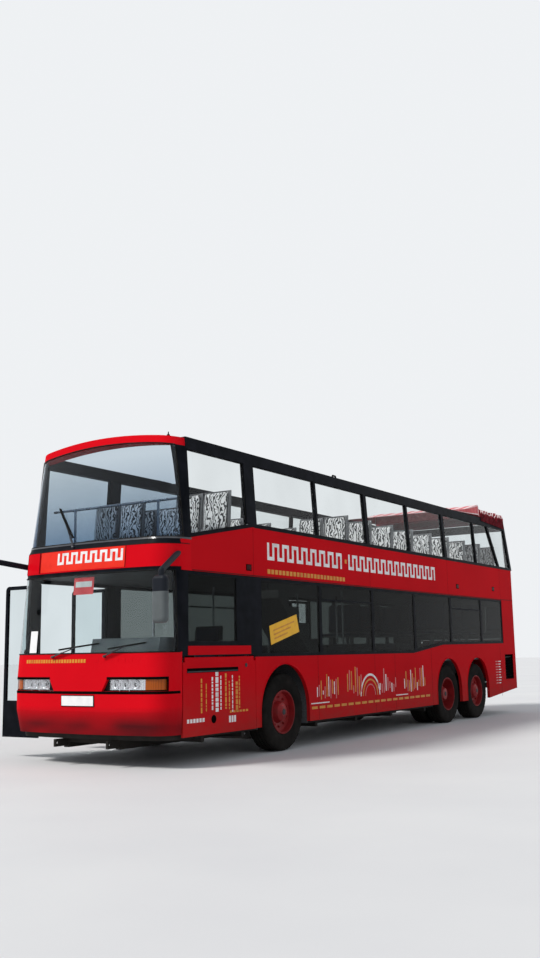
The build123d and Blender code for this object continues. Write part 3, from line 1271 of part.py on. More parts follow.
def back_outline(x, low):
    """The backs of neighbouring seats from the front: sloped shoulders, and a slot between two."""
    count = max(1, round((x[1] - x[0]) / SEAT_WIDTH))
    width, top = (x[1] - x[0]) / count, low + BACK_TOP
    points = [(x[0], low), (x[1], low)]
    for n in reversed(range(count)):
        a = x[0] + n * width + (BACK_SLOT if n else 0.0)
        b = x[0] + (n + 1) * width - (BACK_SLOT if n < count - 1 else 0.0)
        foot = [] if n == count - 1 else [(b, low + BACK_SLOT_FOOT)]
        points += [*foot, (b, top - BACK_SHOULDER), (b - BACK_SHOULDER, top)]
        points += [(a + BACK_SHOULDER, top), (a, top - BACK_SHOULDER)]
        if n:
            points.append((a, low + BACK_SLOT_FOOT))
    return points


def seat(x, y, floor):
    """A row of seats facing the front: one cushion, and the backs above it."""
    low = floor + SEAT_HEIGHT
    cushion, back = [side_prism([(y + a, low + b) for a, b in outline], x)
                     for outline in (CUSHION, BACKREST)]
    return cushion, back & cross_prism(back_outline(x, low), (y, y + SEAT_PITCH))


def seat_legs(x, y, floor):
    """The two plate legs under a pair of seats."""
    middle, (half_x, half_y) = (x[0] + x[1]) / 2, LEG_HALF
    return [block((at - half_x, at + half_x), (y - half_y, y + half_y), (floor, floor + SEAT_HEIGHT))
            for at in (middle - LEG_SPREAD, middle + LEG_SPREAD)]


def upper_rows():
    """Upper deck seats: x span, place along the bus, floor."""
    rows = []
    stairs_y = (STAIRWELL_Y[0] - STAIR_CLEARANCE[0], STAIRWELL_Y[1] + STAIR_CLEARANCE[1])
    for n in range(UPPER_ROWS):
        y = UPPER_ROW_START_Y + n * SEAT_PITCH
        for side in (1, -1):
            if side < 0 or not stairs_y[0] < y < stairs_y[1]:
                span = mirrored_x((AISLE_SEAT_X, AISLE_SEAT_X + PAIR_WIDTH), side)
                rows.append((span, y, UPPER_FLOOR_TOP))
    return rows


def lower_rows():
    """Lower deck seats: the low floor, the podiums and the row across the rear."""
    pair = (AISLE_SEAT_X, AISLE_SEAT_X + PAIR_WIDTH)
    rows = [(mirrored_x(pair, side), y, FLOOR_TOP)
            for side, places in ((1, LOWER_ROWS_LEFT), (-1, LOWER_ROWS_RIGHT)) for y in places]
    rows += [(mirrored_x(PODIUM_SEAT_X, side), y, PODIUM_TOP) for y in PODIUM_ROWS for side in (1, -1)]
    return [*rows, ((-REAR_ROW_HALF, REAR_ROW_HALF), REAR_ROW_Y, PODIUM_TOP)]


def seats(rows):
    return Compound(children=[solid for row in rows for solid in seat(*row)])


def seat_frames():
    legs = []
    for row in [*upper_rows(), *lower_rows()]:
        legs += seat_legs(*row)
    return Compound(children=legs)


def on_steering_axis(shape):
    return Pos(*STEERING_CENTRE) * Rot(-STEERING_TILT, 0, 0) * shape


def steering_wheel():
    """A flat-sectioned ring on two spokes, round a hub on the column's end."""
    thick = 2 * STEERING_RIM
    ring = Cylinder(STEERING_RADIUS, thick) - Cylinder(STEERING_RADIUS - thick, thick + CUT_PAST)
    hub = Pos(0, 0, -HUB_BOTTOM / 2) * Cylinder(HUB_RADIUS, HUB_BOTTOM)
    pin = rod_z(0, 0, (-HUB_BOTTOM - SHAFT_PIN, -HUB_BOTTOM), SHAFT_PIN_RADIUS)
    return on_steering_axis(ring + Box(*SPOKE) + hub + pin)


def dashboard():
    """The full-width shelf, the driver's binnacle, the cab floor and the column."""
    shelf = front_filled((LAMP_Z[1], DASH_TOP), SHELL_END_Y, inset=PANEL + SEAT_GAP)
    shelf &= block(ACROSS, (-BEYOND, DASH_REAR_Y), (LAMP_Z[1], DASH_TOP))
    foot, low = DASH_TOP - CUT_PAST, DASH_TOP - BINNACLE_DROP
    binnacle = side_prism([(BINNACLE_Y[0], foot), (BINNACLE_Y[1], BINNACLE_TOP),
                           (BINNACLE_Y[2], BINNACLE_TOP), (BINNACLE_Y[3], low), (DASH_REAR_Y, low)],
                          BINNACLE_X)
    cab = block(CAB_X, CAB_Y, (FLOOR_TOP, CAB_FLOOR_TOP))
    wall = block(BINNACLE_X, (DASH_REAR_Y - DASH_WALL, DASH_REAR_Y), (FLOOR_TOP, LAMP_Z[1] + CUT_PAST))
    head = -HUB_BOTTOM - MOVING_GAP
    column = rod_z(0, 0, (head - COLUMN_LENGTH, head), COLUMN_RADIUS)
    column -= rod_z(0, 0, (head - SHAFT_PIN, 0), SHAFT_PIN_RADIUS + RUNNING_FIT)
    foot_x = (DRIVER_X - COLUMN_FOOT_HALF, DRIVER_X + COLUMN_FOOT_HALF)
    column_foot = block(foot_x, COLUMN_FOOT_Y, (CAB_FLOOR_TOP, COLUMN_FOOT_TOP))
    return shelf + binnacle + cab + wall + on_steering_axis(column) + column_foot


def driver_seat():
    """The driver's cushion on its pedestal, and the backrest."""
    x = (DRIVER_X - DRIVER_SEAT_HALF, DRIVER_X + DRIVER_SEAT_HALF)
    cushion, backrest = seat(x, DRIVER_SEAT_Y, CAB_FLOOR_TOP)
    half_x, half_y = PEDESTAL_HALF
    cushion += block((DRIVER_X - half_x, DRIVER_X + half_x),
                     (DRIVER_SEAT_Y - half_y, DRIVER_SEAT_Y + half_y),
                     (CAB_FLOOR_TOP, CAB_FLOOR_TOP + SEAT_HEIGHT))
    return Compound(children=[cushion, backrest])


def handrails():
    """The lower deck's poles, and the rail behind the upper screen."""
    rails = [rod_z(x, y, (FLOOR_TOP, CEILING), POLE_RADIUS) for x, y in POLES]
    front = rod_x((-FRONT_RAIL_HALF, FRONT_RAIL_HALF), FRONT_RAIL_Y, FRONT_RAIL_Z, POLE_RADIUS)
    for x in (-FRONT_RAIL_POST_X, FRONT_RAIL_POST_X):
        front += rod_z(x, FRONT_RAIL_Y, (UPPER_FLOOR_TOP, FRONT_RAIL_Z), POLE_RADIUS)
    return Compound(children=[*rails, front])


def bar(a, b, radius):
    """A round bar between two points."""
    direction = Vector(*b) - Vector(*a)
    plane = Plane(origin=Vector(*a), z_dir=direction)
    return plane * (Pos(0, 0, direction.length / 2) * Cylinder(radius, direction.length))


def mirrors():
    """Each side's mirror, hanging from a bent arm on the front band."""
    pieces = []
    for side, *places in MIRRORS:
        root, bend, centre = [(side * (HALF_WIDTH + x), y, z) for x, y, z in places]
        housing = Pos(*centre) * Box(*MIRROR_SIZE)
        housing = fillet(housing.edges(), MIRROR_EDGE)
        arm = bar(root, bend, MIRROR_ARM) + Pos(*bend) * Sphere(MIRROR_ARM)
        arm += bar(bend, (bend[0], centre[1], centre[2]), MIRROR_ARM)
        pieces.append(arm + housing)
    inside = front_filled((BAND_BOTTOM, SECTION_Z["trim top"]), SHELL_END_Y)
    return Compound(children=[piece - inside for piece in pieces])


def before_front(x, z, gap):
    """A point in front of the rounded front's surface."""
    tip = front_section(z)[0]
    return (x, tip + FRONT_RADIUS - math.sqrt(FRONT_RADIUS**2 - x**2) - gap, z)


def wipers():
    """The arm and blade of the upper screen, and the two of the lower screen."""
    pieces = []
    for x, z, foot_x, foot_z, tip_x, tip_z in WIPERS:
        pivot = before_front(x, z, WIPER_STANDOFF)
        seat_y = before_front(abs(x) - WIPER_BOSS, z - WIPER_BOSS, SEAT_GAP)[1]
        boss = rod_y(x, (pivot[1] - WIPER_BOSS, seat_y), z, WIPER_BOSS)
        foot = before_front(foot_x, foot_z, BLADE_STANDOFF)
        tip = before_front(tip_x, tip_z, BLADE_STANDOFF)
        middle = before_front((foot_x + tip_x) / 2, (foot_z + tip_z) / 2, WIPER_STANDOFF)
        blade_middle = before_front(middle[0], middle[2], BLADE_STANDOFF)
        wiper = boss + bar(pivot, middle, WIPER_ARM) + bar(foot, tip, WIPER_ARM)
        pieces.append(wiper + bar(middle, blade_middle, WIPER_ARM))
    return Compound(children=pieces)


def folded_canopy():
    """The fabric roof, folded on the rails at the rear: a sloping flap, then the gathered folds."""
    base, x = RAIL_TOP + SEAT_GAP, (-LEANING_TOP_X, LEANING_TOP_X)
    cloth = side_prism([(y, base + z) for y, z in CANOPY_OUTLINE], x)
    for n in range(FOLDS):
        cloth += rod_x(x, FOLD_START_Y + n * FOLD_PITCH, base + FOLD_HEIGHT, FOLD_RADIUS)
    return cloth


def build():
    """Every sub-part by its name."""
    parts = {
        "underframe": underframe(),
        "lower_floor": lower_floor(),
        "upper_floor": upper_floor(),
        "stairs": stairs(),
        "side_wall_left": side_wall_left(),
        "side_wall_right": side_wall_right(),
        "deck_band": deck_band(),
        "window_frames": window_frames(),
        "upper_frame": upper_frame(),
        "rear_wall": rear_wall(),
        "front_mask": front_mask(),
        "front_bumper": front_bumper(),
        "front_band": front_band(),
        "roof_visor": roof_visor(),
        "lower_windscreen": lower_windscreen(),
        "upper_windscreen": upper_windscreen(),
        "lower_glass": Compound(children=[*lower_glass().solids(), rear_pane()]),
        "upper_glass": upper_glass(),
        "lamp_housings": lamp_housings(),
        "head_lamps": head_lamps(),
        "tail_lamps": tail_lamps(),
        "dashboard": dashboard(),
        "driver_seat": driver_seat(),
        "steering_wheel": steering_wheel(),
        "lower_seats": seats(lower_rows()),
        "upper_seats": seats(upper_rows()),
        "seat_frames": seat_frames(),
        "handrails": handrails(),
        "mirrors": mirrors(),
        "wipers": wipers(),
        "folded_canopy": folded_canopy(),
        "engine": engine(),
        "front_axle": front_axle(),
        "drive_axle": drive_axle(),
        "tag_axle": tag_axle(),
        "service_flap": service_flap(),
        "engine_flap": engine_flap(),
    }
    for name, side in (("left", 1), ("right", -1)):
        parts[f"knuckle_{name}"] = knuckle(side)
        parts[f"front_rim_{name}"] = single_rim(side, FRONT_AXLE_Y)
        parts[f"front_tyre_{name}"] = single_tyre(side, FRONT_AXLE_Y)
        parts[f"drive_rim_{name}"] = twin_rim(side, DRIVE_AXLE_Y)
        parts[f"drive_tyres_{name}"] = twin_tyres(side, DRIVE_AXLE_Y)
        parts[f"tag_rim_{name}"] = single_rim(side, TAG_AXLE_Y)
        parts[f"tag_tyre_{name}"] = single_tyre(side, TAG_AXLE_Y)
    names = ("front_door_fore", "front_door_aft", "middle_door_fore", "middle_door_aft")
    for name, (hinge_y, turn) in zip(names, door_hinges()):
        leaf = [door_leaf(hinge_y), door_glass(hinge_y)]
        if name.startswith("middle"):
            leaf = [closed_door(shape, hinge_y, turn) for shape in leaf]
        parts[name] = Compound(children=leaf)
    return parts


for name, shape in build().items():
    export_step(shape, f"parts/{name}.step")
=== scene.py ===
import random
from math import asin, atan2, copysign, cos, hypot, pi, radians, sin

import bmesh
import bpy
from mathutils import Matrix, Vector
from mathutils.bvhtree import BVHTree


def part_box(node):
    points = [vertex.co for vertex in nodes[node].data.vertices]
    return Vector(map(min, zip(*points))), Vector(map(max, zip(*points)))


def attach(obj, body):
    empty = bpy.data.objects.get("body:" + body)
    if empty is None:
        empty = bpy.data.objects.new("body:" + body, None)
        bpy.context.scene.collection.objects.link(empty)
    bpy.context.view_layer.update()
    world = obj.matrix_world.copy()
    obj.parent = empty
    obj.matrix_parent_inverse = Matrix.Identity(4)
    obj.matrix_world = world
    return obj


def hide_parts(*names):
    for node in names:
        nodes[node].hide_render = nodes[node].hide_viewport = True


# The looks of an open-top double-decker bus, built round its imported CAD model. Metres, +Z up, front at -Y.

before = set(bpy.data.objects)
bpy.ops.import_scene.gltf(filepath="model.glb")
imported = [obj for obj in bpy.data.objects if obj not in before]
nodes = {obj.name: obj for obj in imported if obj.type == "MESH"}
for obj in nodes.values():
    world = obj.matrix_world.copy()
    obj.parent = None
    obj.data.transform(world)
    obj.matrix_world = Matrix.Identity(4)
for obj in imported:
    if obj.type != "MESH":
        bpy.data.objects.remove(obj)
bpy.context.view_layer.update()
scene = bpy.context.scene

BODY = "bus"
SIDE_X = 1.25
MIDDLE_DOOR = (0.06, 1.62)
FRONT_AXLE, DRIVE_AXLE, TAG_AXLE = -3.28, 2.33, 3.72
WHEEL_Z = 0.51
MATERIALS = {}


def put(name, data):
    """A new object in the scene."""
    made = bpy.data.objects.new(name, data)
    scene.collection.objects.link(made)
    return made


# Node trees

# The output that other nodes read, where it isn't the first
MAIN_OUTPUT = {"MIX": 2, "TEX_WAVE": 1, "TEX_COORD": 3, "SEPXYZ": 2}


class Tree:
    """A node tree that is filled by short calls."""

    def __init__(self, tree):
        self.tree = tree
        tree.nodes.clear()

    def feed(self, value, node, socket):
        """Gives a socket a number, a colour, a node's main output or another output."""
        target = node.inputs[socket]
        if isinstance(value, bpy.types.Node):
            value = value.outputs[MAIN_OUTPUT.get(value.type, 0)]
        if isinstance(value, bpy.types.NodeSocket):
            self.tree.links.new(value, target)
        elif isinstance(value, tuple):
            target.default_value = (*value, 1.0)[:len(target.default_value)]
        else:
            target.default_value = value

    def add(self, kind, fed=(), **values):
        """A node with its settings; fed pairs the number of a socket with what goes in."""
        node = self.tree.nodes.new("ShaderNode" + kind)
        for key, value in values.items():
            if hasattr(node, key):
                setattr(node, key, value)
            else:
                self.feed(value, node, key.replace("_", " "))
        for socket, value in fed:
            self.feed(value, node, socket)
        return node

    def math(self, operation, a, b):
        return self.add("Math", ((0, a), (1, b)), operation=operation)


class Material(Tree):
    """A material's nodes: what goes on the shader, and the patterns that the materials share."""

    def __init__(self, name, **values):
        MATERIALS[name] = bpy.data.materials.new(name)
        MATERIALS[name].use_nodes = True
        super().__init__(MATERIALS[name].node_tree)
        self.place = self.add("TexCoord")
        self.shader = self.add("BsdfPrincipled", **values)
        self.add("OutputMaterial", Surface=self.shader)

    def colour(self, source):
        self.feed(source, self.shader, "Base Color")

    def rough(self, source, low, high):
        self.feed(self.add("MapRange", Value=source, To_Min=low, To_Max=high), self.shader, "Roughness")

    def bump(self, source, strength, distance):
        node = self.add("Bump", Strength=strength, Distance=distance, Height=source)
        self.feed(node, self.shader, "Normal")

    def scaled(self, scale):
        return self.add("Mapping", Vector=self.place, Scale=scale)

    def noise(self, scale, detail, stretch=(1, 1, 1)):
        return self.add("TexNoise", Scale=scale, Detail=detail, Vector=self.scaled(stretch))

    def wave(self, direction, scale, **values):
        values = {"Vector": self.place, **values}
        return self.add("TexWave", wave_type="BANDS", bands_direction=direction, Scale=scale, **values)

    def ramp(self, source, *stops):
        node = self.add("ValToRGB", Fac=source)
        band = node.color_ramp
        while len(band.elements) < len(stops):
            band.elements.new(0.5)
        for element, (place, colour) in zip(band.elements, stops):
            element.position = place
            element.color = (*colour, 1.0)
        return node

    def mix(self, factor, a, b):
        return self.add("Mix", ((6, a), (7, b)), data_type="RGBA", Factor=factor)

    def height(self, low, high):
        """1 below the height low, 0 above high."""
        split = self.add("SeparateXYZ", Vector=self.place)
        return self.add("MapRange", Value=split, From_Min=low, From_Max=high, To_Min=1.0, To_Max=0.0)

    def film(self, low, high, patches, share):
        """Patches that thin out between two heights: dust on most finishes, painted shade under the front's
        chin.
        """
        return self.math("MULTIPLY", self.math("MULTIPLY", self.height(low, high), patches), share)


def paint(name, colour, dark, low, high, foot_film=(0.09, 0.06, 0.045), share=0.55, patches=(5.0, 6.0)):
    """Glossy coachwork: slight mottling, wavy panels, a film that thins out upwards, which is road film on
    the sides and painted shade under the front's chin.
    """
    m = Material(name, Coat_Weight=0.06, Coat_Roughness=0.04, Specular_IOR_Level=0.0)
    tone = m.ramp(m.noise(0.9, 4.0), (0.3, dark), (0.7, colour))
    m.colour(m.mix(m.film(low, high, m.noise(*patches, (1, 1, 2.2)), share), tone, foot_film))
    m.rough(m.noise(7.0, 5.0), 0.26, 0.42)
    m.bump(m.noise(2.6, 1.0, (1, 1, 1.6)), 0.22, 0.012)


def satin(name, colour, light, rough=0.5, scale=6.0, grain=220.0, depth=0.0006, metal=0.0,
          stretch=(1, 1, 1), foot_film=None, gloss=0.35):
    """Moulded plastic, rubber or painted steel: two close tones and a fine grain."""
    m = Material(name, Metallic=metal, Specular_IOR_Level=gloss)
    tone = m.ramp(m.noise(scale, 5.0, stretch), (0.35, colour), (0.68, light))
    if foot_film:
        low, high, dust = foot_film
        tone = m.mix(m.film(low, high, m.noise(4.0, 7.0), 0.8), tone, dust)
    m.colour(tone)
    m.rough(m.noise(scale * 2.3, 4.0, stretch), max(rough - 0.12, 0.05), min(rough + 0.12, 1.0))
    m.bump(m.noise(grain, 2.0, stretch), 0.5, depth)


def glass(name, tint, index):
    """Flat safety glass with a slight waviness and dusty film."""
    m = Material(name, Transmission_Weight=1.0, IOR=index)
    m.colour(m.ramp(m.noise(1.1, 2.0), (0.3, tint), (0.8, tuple(min(1.0, c * 1.12) for c in tint))))
    m.rough(m.noise(3.0, 5.0), 0.0, 0.004)
    m.bump(m.noise(0.8, 1.0), 0.1, 0.01)


def graded_glass(name, low_tint, high_tint, low, high, index):
    """Glass that is deeper in colour towards its foot."""
    m = Material(name, Transmission_Weight=1.0, IOR=index, Roughness=0.0)
    m.colour(m.mix(m.height(low, high), high_tint, low_tint))
    m.bump(m.noise(0.8, 1.0), 0.1, 0.01)


def mirror_shell(name, split):
    """A mirror's housing: grey, and black above one height."""
    m = Material(name, Roughness=0.45, Specular_IOR_Level=0.12)
    grey = (0.105, 0.118, 0.122)
    tone = m.ramp(m.noise(6.0, 4.0), (0.3, tuple(c * 0.8 for c in grey)), (0.7, grey))
    m.colour(m.mix(m.height(split, split + 0.002), (0.008, 0.010, 0.015), tone))
    m.bump(m.noise(320.0, 2.0), 0.4, 0.0006)


def lens(name, tint, share, rough=0.12, direction="X"):
    """A fluted lamp lens: clear or coloured plastic with fine ribs."""
    m = Material(name, Roughness=rough, Transmission_Weight=share, IOR=1.2, Coat_Weight=0.2)
    ribs = m.wave(direction, 13.0)
    m.colour(m.ramp(ribs, (0.2, tuple(c * 0.8 for c in tint)), (0.8, tint)))
    m.bump(ribs, 0.1, 0.001)


def fabric(name, colours, weave=45.0, sheen=0.3, rough=0.85):
    """Woven cloth: colour patches, a fine weave and a soft sheen."""
    m = Material(name, Sheen_Weight=sheen, Roughness=rough, Specular_IOR_Level=0.25)
    m.colour(m.ramp(m.noise(14.0, 4.0), *zip((0.3, 0.55, 0.75), colours)))
    m.bump(m.math("MULTIPLY", m.wave("X", weave), m.wave("DIAGONAL", weave)), 0.5, 0.0012)


def patterned_cover(name, light, dark):
    """The upper deck's seat covers: broken dark streaks on a light ground."""
    m = Material(name, Sheen_Weight=0.25, Roughness=0.8, Specular_IOR_Level=0.3)
    streaks = m.wave("X", 7.0, Distortion=14.0, Detail=2.0, Detail_Scale=1.6, Vector=m.scaled((1, 1, 0.75)))
    m.colour(m.ramp(streaks, (0.44, dark), (0.5, light)))
    m.bump(m.wave("DIAGONAL", 60.0), 0.4, 0.001)


def striped_cloth(name, light, dark):
    """Striped awning cloth: broad bands across the bus and shallow dents."""
    m = Material(name, Sheen_Weight=0.15, Roughness=0.75, Specular_IOR_Level=0.3)
    m.colour(m.ramp(m.wave("X", 1.3, Distortion=0.6, Detail=1.0), (0.45, dark), (0.52, light)))
    m.bump(m.noise(26.0, 3.0), 0.35, 0.004)


def print_film(name, colour, worn):
    """Printed film on the paint, slightly faded in patches."""
    m = Material(name, Roughness=0.35, Coat_Weight=0.05, Coat_Roughness=0.1, Specular_IOR_Level=0.15)
    m.colour(m.ramp(m.noise(9.0, 6.0), (0.25, worn), (0.55, colour)))
    m.bump(m.noise(40.0, 2.0), 0.15, 0.001)


paint("paint", (0.56, 0.0035, 0.009), (0.49, 0.003, 0.008), 0.25, 1.0)
# The front paint is a lighter copy of the coachwork red: painted light for the brighter front.
# The front paint's dark red film from 0.49 m to 0.71 m up is painted shade under the bumper's chin.
paint("front_paint", (0.62, 0.0035, 0.010), (0.55, 0.003, 0.009), 0.49, 0.71, (0.045, 0.008, 0.010), 1.5,
      (1.3, 1.0))
satin("black", (0.004, 0.005, 0.007), (0.009, 0.010, 0.014), 0.36, gloss=0.02)
satin("rubber", (0.006, 0.006, 0.006), (0.014, 0.014, 0.014), 0.62, gloss=0.06)
satin("tyre", (0.006, 0.0056, 0.0052), (0.013, 0.012, 0.011), 0.82, 8.0, 300.0, 0.001,
      foot_film=(0.0, 0.6, (0.030, 0.026, 0.023)), gloss=0.05)
satin("rim", (0.22, 0.008, 0.011), (0.31, 0.013, 0.016), 0.38, 9.0, 160.0, 0.0008,
      foot_film=(-0.4, 1.2, (0.055, 0.026, 0.022)), gloss=0.15)
satin("chassis", (0.010, 0.0095, 0.009), (0.022, 0.020, 0.018), 0.68, 5.0, 90.0, 0.0015,
      foot_film=(0.0, 1.0, (0.035, 0.030, 0.026)), gloss=0.08)
satin("axle", (0.05, 0.05, 0.052), (0.11, 0.10, 0.095), 0.6, 7.0, 120.0, 0.0015,
      foot_film=(0.0, 1.0, (0.16, 0.13, 0.11)))
satin("floor", (0.085, 0.088, 0.092), (0.13, 0.134, 0.138), 0.6, 60.0, 340.0, 0.0008, gloss=0.15)
satin("stairs", (0.11, 0.112, 0.114), (0.16, 0.162, 0.164), 0.55, 20.0, 200.0, gloss=0.15)
satin("inner", (0.055, 0.057, 0.060), (0.085, 0.088, 0.092), 0.6, 3.0, 260.0, gloss=0.12)
mirror_shell("mirror_left", 2.005)
mirror_shell("mirror_right", 2.275)
satin("dash", (0.075, 0.088, 0.098), (0.12, 0.135, 0.145), 0.6, 4.0, 420.0, gloss=0.15)
satin("trim", (0.024, 0.026, 0.030), (0.044, 0.047, 0.052), 0.45, 5.0, 300.0, gloss=0.12)
satin("shell", (0.10, 0.105, 0.115), (0.14, 0.145, 0.155), 0.5, 8.0, 320.0)
satin("legs", (0.16, 0.16, 0.165), (0.24, 0.24, 0.245), 0.42, 9.0, 200.0, metal=0.6)
satin("steel", (0.42, 0.43, 0.45), (0.56, 0.57, 0.59), 0.28, 5.0, 60.0, 0.0003, 0.9, (1, 1, 0.1))
satin("chrome", (0.66, 0.68, 0.71), (0.78, 0.79, 0.82), 0.24, 4.0, 90.0, 0.0001, 0.75)
satin("mirror", (0.72, 0.74, 0.76), (0.80, 0.82, 0.84), 0.13, 2.0, 20.0, 0.0001, 1.0)
satin("gloss", (0.020, 0.023, 0.030), (0.034, 0.038, 0.048), 0.12, gloss=0.6)
satin("gap", (0.003, 0.0025, 0.0025), (0.006, 0.005, 0.005), 0.9, gloss=0.0)
satin("marker", (0.030, 0.003, 0.004), (0.050, 0.005, 0.006), 0.3, gloss=0.05)
glass("screen", (0.74, 0.80, 0.81), 1.2)
glass("tinted", (0.17, 0.19, 0.185), 1.1)
glass("clear", (0.80, 0.83, 0.83), 1.14)
graded_glass("blue", (0.15, 0.24, 0.36), (0.62, 0.70, 0.76), 2.65, 3.75, 1.25)
lens("lens_clear", (0.93, 0.94, 0.95), 0.95)
lens("lens_amber", (0.58, 0.13, 0.01), 0.45)
lens("lens_red", (0.62, 0.012, 0.010), 0.12, 0.25, "Z")
patterned_cover("cover", (0.72, 0.73, 0.74), (0.022, 0.023, 0.026))
striped_cloth("awning", (0.74, 0.55, 0.55), (0.58, 0.06, 0.08))
fabric("moquette", ((0.020, 0.028, 0.060), (0.035, 0.045, 0.095), (0.10, 0.02, 0.03)))
fabric("canopy", ((0.09, 0.003, 0.008), (0.17, 0.006, 0.014), (0.28, 0.012, 0.026)), 35.0, 0.0, 0.7)
fabric("salmon", ((0.46, 0.05, 0.06), (0.60, 0.09, 0.10), (0.70, 0.16, 0.17)), 35.0, 0.1, 0.6)
fabric("hem", ((0.66, 0.48, 0.48), (0.76, 0.60, 0.60), (0.82, 0.70, 0.70)), 35.0, 0.1, 0.6)
print_film("panel_red", (0.74, 0.024, 0.010), (0.66, 0.020, 0.008))
print_film("white", (0.78, 0.77, 0.77), (0.60, 0.52, 0.52))
print_film("ochre", (0.62, 0.26, 0.03), (0.48, 0.16, 0.02))
print_film("pink", (0.55, 0.17, 0.17), (0.46, 0.10, 0.11))
print_film("card", (0.80, 0.10, 0.11), (0.70, 0.07, 0.08))
print_film("plate", (0.80, 0.80, 0.79), (0.70, 0.70, 0.69))
print_film("yellow", (0.80, 0.43, 0.02), (0.70, 0.35, 0.02))


# Finishes of the CAD nodes

DOORS = "front_door_fore front_door_aft middle_door_fore middle_door_aft"
CAD_FINISHES = {
    "paint": "side_wall_left side_wall_right deck_band rear_wall service_flap engine_flap",
    "front_paint": "front_mask front_bumper front_band roof_visor",
    "black": "window_frames upper_frame " + DOORS,
    "axle": "engine front_axle drive_axle tag_axle knuckle_left knuckle_right",
    "rubber": "lamp_housings steering_wheel wipers", "shell": "lower_seats upper_seats driver_seat",
    "floor": "lower_floor upper_floor", "screen": "lower_windscreen", "blue": "upper_windscreen",
    "tinted": "lower_glass", "clear": "upper_glass", "lens_clear": "head_lamps", "lens_red": "tail_lamps",
    "chassis": "underframe", "stairs": "stairs", "dash": "dashboard", "legs": "seat_frames",
    "steel": "handrails", "mirror_left": "mirrors", "canopy": "folded_canopy",
}
finish_of = {name: kind for kind, names in CAD_FINISHES.items() for name in names.split()}
for name, node in nodes.items():
    kind = finish_of.get(name) or ("rim" if "rim" in name else "tyre")
    node.data.materials.clear()
    node.data.materials.append(MATERIALS[kind])


def islands(name):
    """The separate solids of a CAD node: their faces, lowest and highest corner."""
    mesh = nodes[name].data
    key = [tuple(round(c, 4) for c in v.co) for v in mesh.vertices]
    home = {}

    def root(k):
        while home.setdefault(k, k) != k:
            home[k] = home[home[k]]
            k = home[k]
        return k

    for face in mesh.polygons:
        first = root(key[face.vertices[0]])
        for v in face.vertices[1:]:
            home[root(key[v])] = first
    groups = {}
    for face in mesh.polygons:
        groups.setdefault(root(key[face.vertices[0]]), []).append(face)
    found = []
    for faces in groups.values():
        points = [mesh.vertices[v].co for face in faces for v in face.vertices]
        found.append((faces, *(Vector([end(p[i] for p in points) for i in range(3)]) for end in (min, max))))
    return found


def second_finish(names, kind, wanted):
    """Gives a second material to the faces that a test of centre, normal and solid's corners picks out."""
    for name in names.split():
        nodes[name].data.materials.append(MATERIALS[kind])
        index = len(nodes[name].data.materials) - 1
        for faces, low, high in islands(name):
            for face in faces:
                if wanted(face.center, face.normal, low, high):
                    face.material_index = index


def inward(c, n):
    """Whether a face looks towards the bus's middle plane."""
    return n.x * c.x < -0.5 * abs(c.x)


PANE = 0.012
BOWLS = (0.58, 0.72, 0.86)
BOWL_Z = 0.9625
second_finish(DOORS, "screen", lambda c, n, low, high: min(high.x - low.x, high.y - low.y) < PANE)
second_finish("head_lamps", "lens_amber", lambda c, n, low, high: min(abs(low.x), abs(high.x)) > 0.98)
second_finish("head_lamps", "chrome", lambda c, n, low, high: n.y > 0.6 and abs(c.x) < 0.98
              and all(hypot(abs(c.x) - x, c.z - BOWL_Z) > 0.054 for x in BOWLS))
second_finish("mirrors", "mirror_right", lambda c, n, low, high: c.x < 0)
second_finish("lower_floor", "chassis", lambda c, n, low, high: c.z < 0.375)
second_finish("upper_floor", "inner", lambda c, n, low, high: n.z < -0.5)
second_finish("side_wall_left side_wall_right deck_band service_flap", "inner",
              lambda c, n, low, high: inward(c, n) or (n.z > 0.9 and abs(c.x) < 1.235 and abs(c.y) < 5.9))
second_finish("rear_wall", "inner",
              lambda c, n, low, high: n.y < -0.5 and c.y > 5.8 or inward(c, n) or n.z > 0.9)
second_finish("front_mask front_band front_bumper", "inner",
              lambda c, n, low, high: n.y > 0.5 or inward(c, n))
second_finish("side_wall_left", "gap",
              lambda c, n, low, high: c.x < 1.2465 and 5.25 < c.y < 5.75 and 0.67 < c.z < 1.19)


# Mesh building

